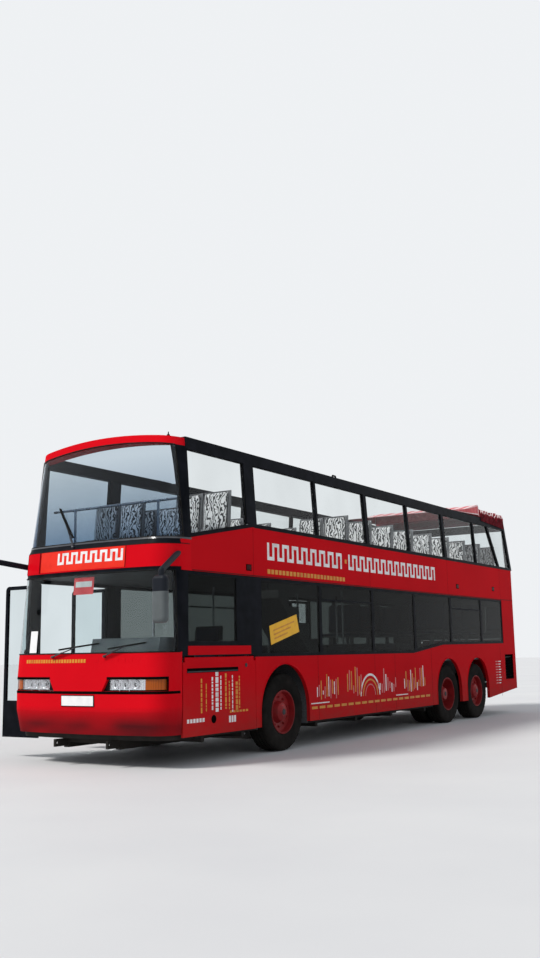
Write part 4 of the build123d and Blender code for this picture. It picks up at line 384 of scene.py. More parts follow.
class Shape:
    """Faces collected in metres, each with a material slot."""

    def __init__(self):
        self.points, self.faces, self.slots = [], [], []

    def add(self, points, faces, slot=0):
        start = len(self.points)
        self.points += [tuple(p) for p in points]
        self.faces += [tuple(start + i for i in face) for face in faces]
        self.slots += [slot] * len(faces)

    def box(self, x, y, z, slot=0):
        points = [(a, b, c) for a in x for b in y for c in z]
        faces = ((0, 1, 3, 2), (4, 6, 7, 5), (0, 4, 5, 1), (2, 3, 7, 6), (0, 2, 6, 4), (1, 5, 7, 3))
        self.add(points, faces, slot)

    def rings(self, rings, slot=0, closed=True, capped=False, looped=False):
        """Skin between rows of points; closed joins each row's ends, looped the first and last row."""
        n, count = len(rings[0]), len(rings)
        faces = []
        for i in range(count if looped else count - 1):
            a, b = i * n, (i + 1) % count * n
            for j in range(n if closed else n - 1):
                k = (j + 1) % n
                faces.append((a + j, a + k, b + k, b + j))
        if capped:
            faces += [tuple(reversed(range(n))), tuple((count - 1) * n + j for j in range(n))]
        self.add([p for ring in rings for p in ring], faces, slot)

    def sheet(self, upper, under, slot=0):
        """A closed sheet between two grids of points."""
        self.rings(upper + under[::-1], slot, closed=False, looped=True)
        for k in (0, -1):
            self.rings([[row[k] for row in upper], [row[k] for row in under]], slot, closed=False)

    def tube(self, line, radius, slot=0, sides=10, looped=False, flat=1.0):
        """A round bar along a line of points; flat squeezes its section's second direction."""
        line = [Vector(p) for p in line]
        rings = []
        up = None
        for i, p in enumerate(line):
            before = line[i - 1] if i or looped else p
            after = line[(i + 1) % len(line)] if i < len(line) - 1 or looped else p
            along = (after - before).normalized()
            if up is None:
                up = Vector((0, 0, 1)) if abs(along.z) < 0.9 else Vector((1, 0, 0))
            side = along.cross(up).normalized()
            up = side.cross(along).normalized()
            angles = [2 * pi * j / sides for j in range(sides)]
            rings.append([p + side * cos(a) * radius + up * sin(a) * radius * flat for a in angles])
        self.rings(rings, slot, capped=not looped, looped=looped)

    def lathe(self, outline, centre, axis, slot=0, segments=48):
        """Turns (along, radius) points about an axis through centre."""
        axis = Vector(axis).normalized()
        u = axis.orthogonal().normalized()
        v = axis.cross(u)
        rings = []
        for j in range(segments):
            a = 2 * pi * j / segments
            out = u * cos(a) + v * sin(a)
            rings.append([Vector(centre) + axis * t + out * r for t, r in outline])
        self.rings(rings, slot, closed=False, looped=True)

    def side(self, y, z, thick=0.0015, slot=0, sides=(1, -1)):
        """A thin plate on both side walls, left out where it would cross the middle door."""
        for side in sides:
            if side > 0 or z[0] > 2.0 or y[1] < MIDDLE_DOOR[0] or y[0] > MIDDLE_DOOR[1]:
                self.box(sorted((side * (SIDE_X - 0.002), side * (SIDE_X + thick))), y, z, slot)

    def front(self, u, z, thick, out=0.0, slot=0, steps=None):
        """A plate that follows the rounded front between two runs and two heights."""
        steps = steps or max(2, int(abs(u[1] - u[0]) / 0.05))
        runs = [u[0] + (u[1] - u[0]) * i / steps for i in range(steps + 1)]
        layers = ([[on_front(run, h, layer) for run in runs] for h in z] for layer in (out + thick, out))
        self.sheet(*layers, slot)

    def make(self, name, slot, kinds, body=BODY, bevel=0.0, smooth=True):
        """The finished piece, riding on a body; kinds names the materials of its face slots in turn."""
        mesh = bpy.data.meshes.new(name)
        mesh.from_pydata(self.points, [], self.faces)
        for kind in kinds.split():
            mesh.materials.append(MATERIALS[kind])
        mesh.polygons.foreach_set("material_index", self.slots)
        piece = put(name, mesh)
        work = bmesh.new()
        work.from_mesh(mesh)
        bmesh.ops.remove_doubles(work, verts=work.verts, dist=1e-5)
        bmesh.ops.recalc_face_normals(work, faces=work.faces)
        work.to_mesh(mesh)
        work.free()
        if bevel:
            edges = piece.modifiers.new("edges", "BEVEL")
            edges.width, edges.segments, edges.limit_method = bevel, 2, "ANGLE"
        if smooth:
            mesh.shade_smooth()
            mesh.set_sharp_from_angle(angle=radians(38))
        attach(piece, body)
        return piece


def arc(steps, radius, turn=pi):
    """Offsets along an arc."""
    angles = [turn * k / steps for k in range(steps + 1)]
    return [(radius * cos(a), radius * sin(a)) for a in angles]


def rounded(half_a, half_b, corner, steps):
    """Offsets round a rectangle with rounded corners."""
    ring = []
    for a, b, start in ((1, 1, 0.0), (-1, 1, 0.5), (-1, -1, 1.0), (1, -1, 1.5)):
        for k in range(steps + 1):
            angle = pi * (start + k / (2 * steps))
            ring.append((a * (half_a - corner) + corner * cos(angle),
                         b * (half_b - corner) + corner * sin(angle)))
    return ring


def border(name, outward, least):
    """The closed outlines of a CAD node's faces that look outward, as lists of points."""
    mesh = nodes[name].data
    key = lambda v: tuple(round(c, 4) for c in mesh.vertices[v].co)
    edges = {}
    for face in mesh.polygons:
        if face.normal.dot(outward(face.center)) >= least:
            ring = [key(v) for v in face.vertices]
            for a, b in zip(ring, ring[1:] + ring[:1]):
                if not edges.pop((b, a), False):
                    edges[a, b] = True
    following = {a: b for a, b in edges}
    loops = []
    while following:
        start = next(iter(following))
        loop, at = [start], following.pop(start)
        while at != start and at in following:
            loop.append(at)
            at = following.pop(at)
        loops.append([Vector(p) for p in loop])
    return loops


# Seals round every pane

def seal(shape, loop, radius, out, inside):
    """A bead on the edge of a pane: moved out by a distance, and in towards its middle."""
    centre = sum(loop, Vector()) / len(loop)
    line = [p + Vector(out) + (centre - p).normalized() * inside for p in loop]
    shape.tube(line, radius, 0, 6, looped=True)


def window_seals():
    """The beads round the side and rear panes of both decks."""
    shape = Shape()
    panes = ("lower_glass", "upper_glass")
    for name in panes:
        for loop in border(name, lambda c: Vector((copysign(1.0, c.x), 0, 0)), 0.7):
            seal(shape, loop, 0.007, (copysign(0.002, loop[0].x), 0, 0), 0.002)
    for name in panes:
        for loop in border(name, lambda c: Vector((0, 1, 0)), 0.9):
            seal(shape, loop, 0.008, (0, 0.002, 0), 0.004)
    shape.make("window_seals", "frame_black", "rubber")


window_seals()


# The rounded front's surface, from the same sections as the CAD

FRONT_RADIUS = 7.5
# Height, tip, half width and corner radius
SECTIONS = (
    (0.380, -5.930, 1.235, 0.280), (0.650, -5.995, 1.250, 0.290), (0.885, -6.000, 1.250, 0.290),
    (1.040, -5.997, 1.250, 0.295), (1.330, -5.980, 1.250, 0.310), (2.285, -5.895, 1.250, 0.335),
    (2.330, -5.890, 1.250, 0.340), (2.600, -5.870, 1.250, 0.350), (2.690, -5.820, 1.250, 0.345),
    (3.850, -5.655, 1.190, 0.290), (4.100, -5.620, 1.177, 0.285),
)


def section(z):
    """Tip, half width and corner radius of the front at a height."""
    for low, high in zip(SECTIONS, SECTIONS[1:]):
        if z <= high[0]:
            break
    t = (z - low[0]) / (high[0] - low[0])
    return [a + (b - a) * t for a, b in zip(low[1:], high[1:])]


def on_front(u, z, out=0.0):
    """A point on the rounded front: u runs along the surface from the centre plane to either side."""
    tip, half, radius = section(z)
    sign, u = copysign(1.0, u), abs(u)
    centre_y, corner_x = tip + FRONT_RADIUS, half - radius
    turn = asin(corner_x / (FRONT_RADIUS - radius))
    corner_y = centre_y - (FRONT_RADIUS - radius) * cos(turn)
    first, second = FRONT_RADIUS * turn, radius * (pi / 2 - turn)
    if u <= first:
        a = u / FRONT_RADIUS
        x, y = (FRONT_RADIUS + out) * sin(a), centre_y - (FRONT_RADIUS + out) * cos(a)
    elif u <= first + second:
        a = turn + (u - first) / radius
        x, y = corner_x + (radius + out) * sin(a), corner_y - (radius + out) * cos(a)
    else:
        x, y = half + out, corner_y + u - first - second
    return Vector((sign * x, y, z))


def front_u(x, z):
    """The run along the surface at which the front has this x."""
    low, high = 0.0, 2.0
    for _ in range(30):
        middle = (low + high) / 2
        low, high = (middle, high) if on_front(middle, z).x < abs(x) else (low, middle)
    return copysign(low, x)


# Printed stripes on the coachwork

def meander(place, start, end, low, high, pitch, stroke):
    """A plain key pattern where the real bus carries words: strokes joined at the top and foot in turn."""
    count = round((end - start - stroke) / pitch)
    pitch = (end - start - stroke) / count
    for n in range(count + 1):
        at = start + n * pitch
        place((at, at + stroke), (low, high))
        if n < count:
            place((at + stroke, at + pitch), (high - stroke, high) if n % 2 else (low, low + stroke))


def dashes(place, start, end, low, high, pitch, share=0.7):
    """A row of dashes, each filling this share of its pitch."""
    for n in range(int((end - start) / pitch)):
        at = start + n * pitch
        place((at, at + pitch * share), (low, high))


def stripes():
    """The long band's print on both sides: a white key pattern and a row of ochre dashes."""
    shape = Shape()
    ochre = lambda y, z: shape.side(y, z, slot=1)
    for ends in ((-3.69, -1.61), (-1.40, 1.87)):
        meander(shape.side, *ends, 2.53, 2.765, 0.125, 0.048)
    ochre((-1.515, -1.455), (2.62, 2.68))
    dashes(ochre, -3.69, -1.50, 2.345, 2.405, 0.095, 0.72)
    shape.make("band_stripes", "body_red", "white ochre")


def bars(shape, y, z, slots, pitch, seed):
    """A field of thin upright bars with ragged ends."""
    chance = random.Random(seed)
    for n in range(int((y[1] - y[0]) / pitch)):
        at = y[0] + n * pitch
        top = z[0] + (z[1] - z[0]) * (0.35 + 0.65 * chance.random())
        foot = z[0] + (z[1] - z[0]) * 0.25 * chance.random()
        shape.side((at, at + pitch * 0.42), (foot, top), slot=slots[n % len(slots)])


def flank_print():
    """A generic printed design on the lower sides: fields of bars, arcs and dashes."""
    shape = Shape()
    bars(shape, (-2.45, -1.75), (0.62, 0.98), (0, 2, 1), 0.055, 3)
    bars(shape, (-1.55, -1.05), (0.62, 1.08), (1, 2), 0.062, 5)
    bars(shape, (-0.55, 0.20), (0.62, 1.02), (2, 0, 2), 0.07, 8)
    bars(shape, (0.42, 1.30), (0.60, 1.05), (0, 1, 2, 1), 0.062, 13)
    for x in (SIDE_X + 0.001, -SIDE_X - 0.001):
        for slot, radius in ((2, 0.16), (1, 0.23), (0, 0.30)):
            edges = [[(x, -0.80 + y, 0.62 + z) for y, z in arc(24, r)] for r in (radius, radius * 1.11)]
            shape.rings(edges, slot, closed=False)
    dashes(lambda y, z: shape.side(y, z, slot=1), -2.60, 1.50, 0.505, 0.54, 0.215, 0.16 / 0.215)
    for y in ((-2.62, -2.10), (0.1, 0.55)):
        shape.side(y, (0.575, 0.59))
    for n in range(9):
        z = 0.61 + 0.053 * n
        shape.side((4.70, 4.82), (z, z + 0.020), slot=2)
        shape.side((4.86, 4.96 + 0.02 * (n % 3)), (z, z + 0.018))
    shape.make("flank_print", "body_red", "white ochre pink")


# What stands on the rounded front

def front_print():
    """The destination panel with its key pattern, the small panel beside it and the mask's dashes."""
    shape = Shape()
    shape.front((-0.80, 0.62), (2.345, 2.598), 0.003)
    shape.front((-1.15, -0.83), (2.345, 2.598), 0.002, slot=3)
    for u in (-1.158, -0.826, -0.806, 0.620):
        shape.front((u, u + 0.006), (2.340, 2.600), 0.0045, slot=4)
    meander(lambda u, z: shape.front(u, z, 0.002, 0.003, 1), -0.480, 0.588, 2.425, 2.570, 0.082, 0.033)
    dashes(lambda u, z: shape.front(u, z, 0.002, 0.0, 2), -0.92, 0.178, 1.218, 1.260, 0.046)
    dashes(lambda u, z: shape.front(u, z, 0.002, 0.0, 3), 0.26, 1.05, 1.222, 1.272, 0.10, 0.62)
    shape.make("front_print", "body_red", "panel_red white ochre front_paint gap")


def front_trim():
    """Blank number plate, frames of the lamps, the bright bead and the joint lines of the front."""
    shape = Shape()
    shape.front((-0.248, 0.276), (0.706, 0.838), 0.008)
    shape.front((-0.239, 0.267), (0.715, 0.829), 0.003, 0.008, 1)
    shape.front((-1.47, 1.47), (0.852, 0.884), 0.0015, slot=2)
    for side in (1, -1):
        for start, foot in ((0.46, 1.020), (1.266, 0.886)):
            shape.front(sorted((side * start, side * 1.285)), (foot, 1.050), 0.002, slot=2)
        for x in (0.65, 0.79):
            u = side * front_u(x, 0.96)
            shape.front((u - 0.003, u + 0.003), (0.888, 1.022), 0.0012, slot=5, steps=1)
        shape.front(sorted((side * 1.285, side * 1.50)), (0.8845, 1.046), 0.0012, slot=4)
    shape.front((-1.50, 1.50), (2.604, 2.612), 0.005)
    shape.front((-1.50, 1.50), (2.664, 2.686), 0.005, slot=3)
    shape.front((-1.45, 1.45), (1.322, 1.331), 0.003)
    shape.make("front_trim", "frame_black", "rubber plate gap gloss front_paint chrome")


def lamp_bowls():
    """A bright bowl with a bulb behind each round of the clear lenses."""
    shape = Shape()
    bowl = [(0.0, 0.051), (-0.003, 0.047), (-0.008, 0.040), (-0.0115, 0.030), (-0.0125, 0.013)]
    bulb = [(-0.004, 0.011), (-0.001, 0.006), (0.0, 0.0)]
    for side in (1, -1):
        for x in BOWLS:
            y = on_front(front_u(x, BOWL_Z), BOWL_Z).y + 0.0275
            shape.lathe(bowl + bulb, (side * x, y, BOWL_Z), (0, -1, 0), segments=32)
    shape.make("lamp_bowls", "lamp_clear", "chrome")


def screen_seals():
    """The rubber beads round both screens."""
    shape = Shape()
    ahead = lambda c: Vector((c.x, c.y + 3.0, 0)).normalized()
    for name in ("lower_windscreen", "upper_windscreen"):
        for loop in border(name, ahead, 0.55):
            if len(loop) >= 8:
                shape.tube([p + ahead(p) * 0.003 for p in loop], 0.008, 0, 6, looped=True)
    shape.make("screen_seals", "frame_black", "rubber")


# Pivot, foot of the blade and tip of the blade, each as x and z
WIPERS = ((-0.230, 2.640, -0.260, 2.760, -0.560, 3.160), (-0.420, 1.290, -0.300, 1.375, 0.330, 1.440),
          (0.420, 1.290, 0.480, 1.375, 1.000, 1.440))


def wipers():
    """Each wiper's domed pivot, sprung arm, blade with its claws and rubber lip."""
    shape = Shape()
    spot = lambda x, z, out: on_front(front_u(x, z), z, out)
    for px, pz, fx, fz, tx, tz in WIPERS:
        foot = spot(px, pz, -0.004)
        away = (spot(px, pz, 0.05) - foot).normalized()
        dome = [(0.0, 0.017), (0.018, 0.017), (0.034, 0.015), (0.041, 0.009), (0.043, 0.0)]
        shape.lathe(dome, foot, away, 1, 20)
        mx, mz = (fx + tx) / 2, (fz + tz) / 2
        arm = [spot(px + (mx - px) * t, pz + (mz - pz) * t, 0.026 + 0.014 * t)
               for t in (0.0, 0.2, 0.4, 0.6, 0.8, 1.0)]
        shape.tube(arm[:3], 0.0150, 1, 8, flat=0.7)
        shape.tube(arm[2:], 0.0110, 1, 8, flat=0.7)
        blade = [(fx + (tx - fx) * k / 12, fz + (tz - fz) * k / 12) for k in range(13)]
        bow = [0.030 + 0.010 * sin(pi * k / 12) for k in range(13)]
        shape.tube([spot(x, z, out) for (x, z), out in zip(blade, bow)], 0.0105, 2, 8)
        shape.tube([spot(x, z, 0.019) for x, z in blade], 0.0050, 0, 6)
        shape.tube([spot(x, z, 0.010) for x, z in blade], 0.0045, 2, 6, flat=2.0)
        for k in (1, 4, 8, 11):
            shape.tube([spot(*blade[k], bow[k]), spot(*blade[k], 0.014)], 0.0075, 0, 6)
    piece = shape.make("dressed_wipers", "frame_black", "trim gloss rubber")
    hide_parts("wipers")


def placards():
    """The blank cards: a red one behind the lower screen, a yellow one on the first side window."""
    shape = Shape()
    shape.front((-0.20, 0.13), (2.04, 2.25), 0.003, -0.045, 3)
    shape.front((-0.17, 0.10), (2.13, 2.20), 0.001, -0.042)
    shape.front((-0.877, -0.745), (1.345, 1.612), 0.0015)
    corners = [Vector(c) for c in ((-3.65, 1.65), (-2.95, 1.82), (-2.88, 1.58), (-3.61, 1.40))]
    shape.rings([[(x, *c) for c in corners] for x in (1.2365, 1.2385)], 1, capped=True)
    for k, share in enumerate((0.28, 0.5, 0.72)):
        left, right = corners[0].lerp(corners[3], share), corners[1].lerp(corners[2], share)
        a, b, drop = left.lerp(right, 0.12), left.lerp(right, 0.88 - 0.14 * k), Vector((0, 0.022))
        line = (a, b, b - drop, a - drop)
        shape.rings([[(x, *p) for p in line] for x in (1.2384, 1.2390)], 2, capped=True)
    shape.make("placards", "trim_plastic", "plate yellow ochre card", smooth=False)


# The service flap and the rest of the sides

# Start, material slot and width of the flap's upright printed bars
COLUMNS = ((-5.20, 3, 0.028), (-5.10, 3, 0.020), (-4.98, 2, 0.030), (-4.90, 2, 0.060), (-4.80, 2, 0.022),
           (-4.70, 3, 0.034), (-4.62, 3, 0.024), (-4.55, 2, 0.020), (-4.47, 3, 0.050), (-4.40, 3, 0.024))


def flap_dressing():
    """The flap's dark handle slot, lock and vent, and its printed bars and dashes."""
    shape = Shape()
    plate = lambda y, z, slot, thick=0.001: shape.side(y, z, thick, slot, (1,))
    plate((-5.47, -4.41), (1.078, 1.132), 0, 0.002)
    plate((-5.46, -4.42), (1.084, 1.098), 1, 0.004)
    shape.lathe([(0.0, 0.026), (0.004, 0.026), (0.006, 0.020), (0.004, 0.012), (0.004, 0.0)],
                (SIDE_X, -4.23, 1.15), (1, 0, 0), 1, 24)
    shape.lathe([(0.0, 0.050), (0.004, 0.048), (0.003, 0.038), (0.001, 0.0)],
                (SIDE_X, -4.94, 0.52), (1, 0, 0), 0, 28)
    chance = random.Random(11)
    for y, slot, width in COLUMNS:
        z, top = 0.58 + 0.05 * chance.random(), 0.92 + 0.13 * chance.random()
        while z < top:
            piece = 0.02 + 0.05 * chance.random()
            plate((y, y + width), (z, z + piece), slot)
            z += piece + 0.012
    dashes(lambda y, z: plate(y, z, 2), -5.47, -5.06, 0.50, 0.545, 0.06)
    dashes(lambda y, z: plate(y, z, 3), -4.60, -4.15, 0.575, 0.60, 0.07)
    dashes(lambda y, z: plate(y, z, 2), -4.62, -4.40, 0.46, 0.54, 0.055)
    shape.make("flap_dressing", "body_red", "gap trim white ochre", "service_flap")


def marker_lamps():
    """The small recessed lamps on the band."""
    shape = Shape()
    for y, z in ((-4.14, 2.40), (2.90, 2.47), (4.78, 2.50)):
        shape.side((y - 0.062, y + 0.062), (z - 0.042, z + 0.042), 0.004)
        shape.side((y - 0.050, y + 0.050), (z - 0.030, z + 0.030), 0.007, 1)
    shape.make("marker_lamps", "lamp_clear", "gap marker", bevel=0.002)


def arch_lips():
    """The rolled edge of every wheel arch."""
    shape = Shape()
    for side in (1, -1):
        for y, z, radius in ((FRONT_AXLE, 0.53, 0.62), (DRIVE_AXLE, 0.58, 0.565), (TAG_AXLE, 0.58, 0.565)):
            line = [(y + radius, 0.352), *((y + a, z + b) for a, b in arc(40, radius)), (y - radius, 0.352)]
            shape.tube([(side * 1.2505, *p) for p in line], 0.009, 0, 8)
    shape.make("arch_lips", "body_red", "paint")


def joint_lines():
    """The dark joints between the side panels, and the beads along the long band."""
    shape = Shape()
    for y in (-2.40, -0.62, 0.10, 1.56, 5.00):
        shape.side((y - 0.0025, y + 0.0025), (0.36, 1.24 if y < 1.0 else 1.33), 0.0006)
    for y in (-4.03, -0.69, 2.44, 5.18):
        shape.side((y - 0.002, y + 0.002), (2.30, 2.935), 0.0006)
    shape.side((-5.36, 5.84), (2.296, 2.304), 0.005, 1)
    shape.side((-4.0, 5.84), (2.934, 2.942), 0.004, 1)
    shape.make("joint_lines", "frame_black", "gap rubber")


def mirror_glass():
    """Each mirror's glass in its bezel."""
    shape = Shape()
    for x, y, z in ((1.36, -6.10, 1.92), (-1.33, -6.28, 2.19)):
        for slot, half_x, half_z, out in ((0, 0.051, 0.216, 0.0535), (1, 0.046, 0.209, 0.055)):
            rings = [[(x + a, y + layer, z + b) for a, b in rounded(half_x, half_z, 0.02, 4)]
                     for layer in (out, out + 0.003)]
            shape.rings(rings, slot, capped=True)
    shape.make("mirror_glass", "trim_plastic", "rubber mirror", smooth=False)


def top_of(name, x, y):
    """The height of a node's highest surface at a place seen from above."""
    mesh = nodes[name].data
    tree = BVHTree.FromPolygons([v.co for v in mesh.vertices], [tuple(f.vertices) for f in mesh.polygons])
    return tree.ray_cast(Vector((x, y, 10.0)), Vector((0, 0, -1)))[0].z


def small_fittings():
    """The aerial on the visor and the stop on the side rail."""
    shape = Shape()
    x, y = 1.02, -5.53
    base = (x, y, top_of("roof_visor", x, y))
    aerial = [(-0.004, 0.0), (-0.004, 0.022), (0.012, 0.020), (0.022, 0.008), (0.050, 0.006), (0.053, 0.0)]
    shape.lathe(aerial, base, (0, 0, 1), 0, 14)
    x, z = 1.15, top_of("upper_frame", 1.15, -1.60) - 0.004
    shape.tube([(x, -1.66, z), (x, -1.64, z + 0.035), (x, -1.56, z + 0.035), (x, -1.54, z)], 0.014)
    shape.make("small_fittings", "frame_black", "rubber")


stripes()
flank_print()
front_print()
front_trim()
lamp_bowls()
screen_seals()
wipers()
placards()
flap_dressing()
marker_lamps()
arch_lips()
joint_lines()
mirror_glass()
small_fittings()


# Wheels

# Half a tyre's section from the bead to the middle groove: offset and radius, for a tyre of this width
TYRE_WIDTH = 0.29
TYRE_PROFILE = ((0.124, 0.2875), (0.134, 0.302), (0.142, 0.345), (0.1445, 0.395), (0.144, 0.448),
                (0.139, 0.478), (0.131, 0.496), (0.118, 0.507), (0.088, 0.5095), (0.084, 0.498),
                (0.074, 0.498), (0.070, 0.5095), (0.034, 0.5097), (0.030, 0.498), (0.020, 0.498),
                (0.016, 0.5097))
SHOULDER_POINTS = (5, 6, 7, 8)
TREAD_BLOCKS = 48
STEPS_A_BLOCK = 3
NOTCH = 0.009
# A wheel nut on its washer, with the stud's end: height and radius
NUT = ((0.0, 0.01875), (0.003, 0.01875), (0.003, 0.015), (0.0176, 0.015), (0.022, 0.0105), (0.022, 0.00675),
       (0.0308, 0.00675), (0.0308, 0.0))
NUTS = 10
# Kind, place along the bus, centre and width of each tyre, then the nuts' circle and the x of their disc,
# of the rim's edge and of the hub cap
WHEELS = (("front", FRONT_AXLE, ((1.070, TYRE_WIDTH),), 0.195, 1.120, 1.2035, 1.212),
          ("drive", DRIVE_AXLE, ((1.0775, 0.275), (0.7475, 0.275)), 0.212, 0.9415, 1.203, 1.154),
          ("tag", TAG_AXLE, ((1.070, TYRE_WIDTH),), 0.195, 1.120, 1.2035, 1.212))


def dressed_tyre(shape, centre, y, width):
    """A tyre with bead, side walls, grooves and notched shoulders."""
    half = [(u * width / TYRE_WIDTH, r) for u, r in TYRE_PROFILE]
    profile = [(-u, r) for u, r in half] + half[::-1]
    last = len(profile) - 1
    notched = {*SHOULDER_POINTS, *(last - k for k in SHOULDER_POINTS)}
    steps = TREAD_BLOCKS * STEPS_A_BLOCK
    rings = []
    for j in range(steps):
        a = 2 * pi * j / steps
        ring = []
        for k, (u, r) in enumerate(profile):
            r -= NOTCH if k in notched and j % STEPS_A_BLOCK == 0 else 0.0
            ring.append((centre + u, y + r * cos(a), WHEEL_Z + r * sin(a)))
        rings.append(ring)
    shape.rings(rings, looped=True)


def wheels():
    """Tyres, nuts, hub caps and the rims' edges of all six wheels."""
    for kind, y, tyres, circle, disc_x, rim_x, cap_x in WHEELS:
        for word, side in (("left", 1), ("right", -1)):
            body = f"{kind}_wheel_{word}"
            node = f"{kind}_tyres_{word}" if kind == "drive" else f"{kind}_tyre_{word}"
            shape = Shape()
            for centre, width in tyres:
                dressed_tyre(shape, side * centre, y, width)
            piece = shape.make(f"dressed_{node}", "tyre_rubber", "tyre", body)
            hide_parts(node)
            trim = Shape()
            for n in range(NUTS):
                a = 2 * pi * (n + 0.5) / NUTS
                at = (side * disc_x, y + circle * cos(a), WHEEL_Z + circle * sin(a))
                trim.lathe(NUT, at, (side, 0, 0), 0, 12)
            edge = [(side * rim_x, y + a, WHEEL_Z + b) for a, b in arc(64, 0.284, 2 * pi)[:-1]]
            trim.tube(edge, 0.005, 0, 6, looped=True)
            trim.lathe([(0.0, 0.040), (0.004, 0.038), (0.006, 0.030), (0.007, 0.0)],
                       (side * cap_x, y, WHEEL_Z), (side, 0, 0), 1, 24)
            trim.make(f"wheel_trim_{kind}_{word}", "rim_red", "rim trim", body)


wheels()


# Seats

PLACE_WIDTH = 0.44
# A solid of a seat node that is lower than this is a cushion
CUSHION_LIMIT = 0.2
PAD_VOXEL = 0.020
PAD_PRESSURE = 4.0
SIMULATION_FRAMES = 20


def puffed(name, size, cap):
    """A pad swollen by cloth simulation, by the cap at most: points and faces of a box about its middle."""
    mesh = bpy.data.meshes.new(name)
    work = bmesh.new()
    bmesh.ops.create_cube(work, size=1.0)
    bmesh.ops.scale(work, vec=size, verts=work.verts)
    bmesh.ops.bevel(work, geom=work.edges[:], offset=min(size) * 0.3, segments=2, affect="EDGES")
    work.to_mesh(mesh)
    work.free()
    pad = put(name, mesh)
    remesh = pad.modifiers.new("remesh", "REMESH")
    remesh.mode, remesh.voxel_size = "VOXEL", PAD_VOXEL
    graph = bpy.context.evaluated_depsgraph_get()
    mesh = bpy.data.meshes.new_from_object(pad.evaluated_get(graph), depsgraph=graph)
    pad.modifiers.clear()
    pad.data = mesh
    start = swollen = [v.co.copy() for v in mesh.vertices]
    cloth = pad.modifiers.new("cloth", "CLOTH").settings
    cloth.use_pressure = True
    cloth.uniform_pressure_force = PAD_PRESSURE
    cloth.effector_weights.gravity = 0.0
    for step in range(1, SIMULATION_FRAMES + 1):
        scene.frame_set(step)
    graph = bpy.context.evaluated_depsgraph_get()
    swollen = [v.co.copy() for v in pad.evaluated_get(graph).data.vertices]
    scene.frame_set(1)
    points = []
    for a, b in zip(start, swollen):
        move = b - a
        points.append(a + move * min(1.0, cap / max(move.length, 1e-9)))
    faces = [tuple(f.vertices) for f in mesh.polygons]
    bpy.data.objects.remove(pad)
    return points, faces


CUSHION_PAD = puffed("cushion_trial", (0.400, 0.385, 0.040), 0.012)
BACK_PAD = puffed("back_trial", (0.395, 0.036, 0.520), 0.011)
BACK_LEAN = atan2(0.060, 0.560)
# Side outlines of the moulded shells, as y and z
BACK_SHELL = ((0.240, 0.030), (0.240, 0.090), (0.286, 0.560), (0.297, 0.628), (0.306, 0.635), (0.313, 0.625),
              (0.309, 0.560), (0.276, 0.060), (0.268, 0.015), (0.245, 0.010))
PAN = ((-0.222, 0.004), (-0.226, 0.016), (-0.218, 0.030), (0.180, 0.022), (0.205, 0.020), (0.205, 0.004))
# The driver's pedestal from the floor up: height, half width and half length
PEDESTAL = ((0.0, 0.145, 0.135), (0.05, 0.145, 0.135), (0.07, 0.10, 0.10), (0.16, 0.13, 0.12),
            (0.22, 0.10, 0.10), (0.30, 0.13, 0.12), (0.38, 0.145, 0.135), (0.402, 0.145, 0.135))


def one_seat(shape, x, y, low):
    """One place: swollen cushion and back with their piping, in a moulded shell."""
    middle = (x[0] + x[1]) / 2
    s, c = sin(BACK_LEAN), cos(BACK_LEAN)
    points, faces = CUSHION_PAD
    shape.add([(middle + p.x, y - 0.018 + p.y, max(low + 0.048 + p.z - 0.03 * (p.y + 0.19), low + 0.024))
               for p in points], faces)
    points, faces = BACK_PAD
    shape.add([(middle + p.x, y + 0.249 + p.y * c + p.z * s, low + 0.362 + p.z * c - p.y * s)
               for p in points], faces)
    for outline in (BACK_SHELL, PAN):
        edges = [[(at, y + a, low + b) for a, b in outline] for at in (x[0] + 0.012, x[1] - 0.012)]
        shape.rings(edges, 1, capped=True)
    piping = [(middle + a, y + 0.229 + b * s, low + 0.364 + b * c) for a, b in rounded(0.192, 0.255, 0.05, 2)]
    shape.tube(piping, 0.0045, 2, 4, looped=True)


def seat_group(name, node, cover):
    """Every seat of one CAD node, dressed; the rows come from the node's cushions."""
    shape = Shape()
    for _, low, high in islands(node):
        if high.z - low.z > CUSHION_LIMIT:
            continue
        width = high.x - low.x
        count = max(1, round(width / PLACE_WIDTH))
        for n in range(count):
            x = (low.x + width * n / count, low.x + width * (n + 1) / count)
            one_seat(shape, x, low.y + 0.230, low.z)
    piece = shape.make(name, "seat_fabric", cover + " shell trim")
    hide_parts(node)


def driver_place():
    """The driver's seat on its pedestal."""
    shape = Shape()
    low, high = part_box("driver_seat")
    middle, y, base = (low[0] + high[0]) / 2, low[1] + 0.230, low[2]
    one_seat(shape, (middle - 0.225, middle + 0.225), y, base + 0.400)
    corners = ((-1, -1), (1, -1), (1, 1), (-1, 1))
    shape.rings([[(middle + a * half_x, y + b * half_y, base + z) for a, b in corners]
                 for z, half_x, half_y in PEDESTAL], 2, capped=True)
    piece = shape.make("driver_seat_dressed", "seat_fabric", "moquette shell rubber")
    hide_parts("driver_seat")


seat_group("upper_seats_dressed", "upper_seats", "cover")
seat_group("lower_seats_dressed", "lower_seats", "moquette")
driver_place()


# The folded roof

CANOPY_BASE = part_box("folded_canopy")[0][2]
CANOPY_HALF = 1.178
CLOTH = 0.003
# Start and run along the bus, rise and sag of the flap; start, run and greatest height of the folds
FLAP_START, FLAP_RUN, FLAP_RISE, FLAP_SAG = 3.06, 1.28, 0.236, 0.024
FOLDS_START, FOLDS_RUN, FOLDS_TOP = 4.475, 1.27, 0.235
# How far the flap's side edge is turned down, as shares of its height
TURNED_DOWN = (0.0, 0.10, 0.26, 0.44, 0.60, 0.74, 0.84)
RAIL_FACE, RAIL_LEAN = 1.183, 0.0647
DRAPE = (0.5, 0.0, -0.35, -0.7, -1.0)
PLEATS, STEPS_A_PLEAT, STEPS_ACROSS = 21, 8, 64


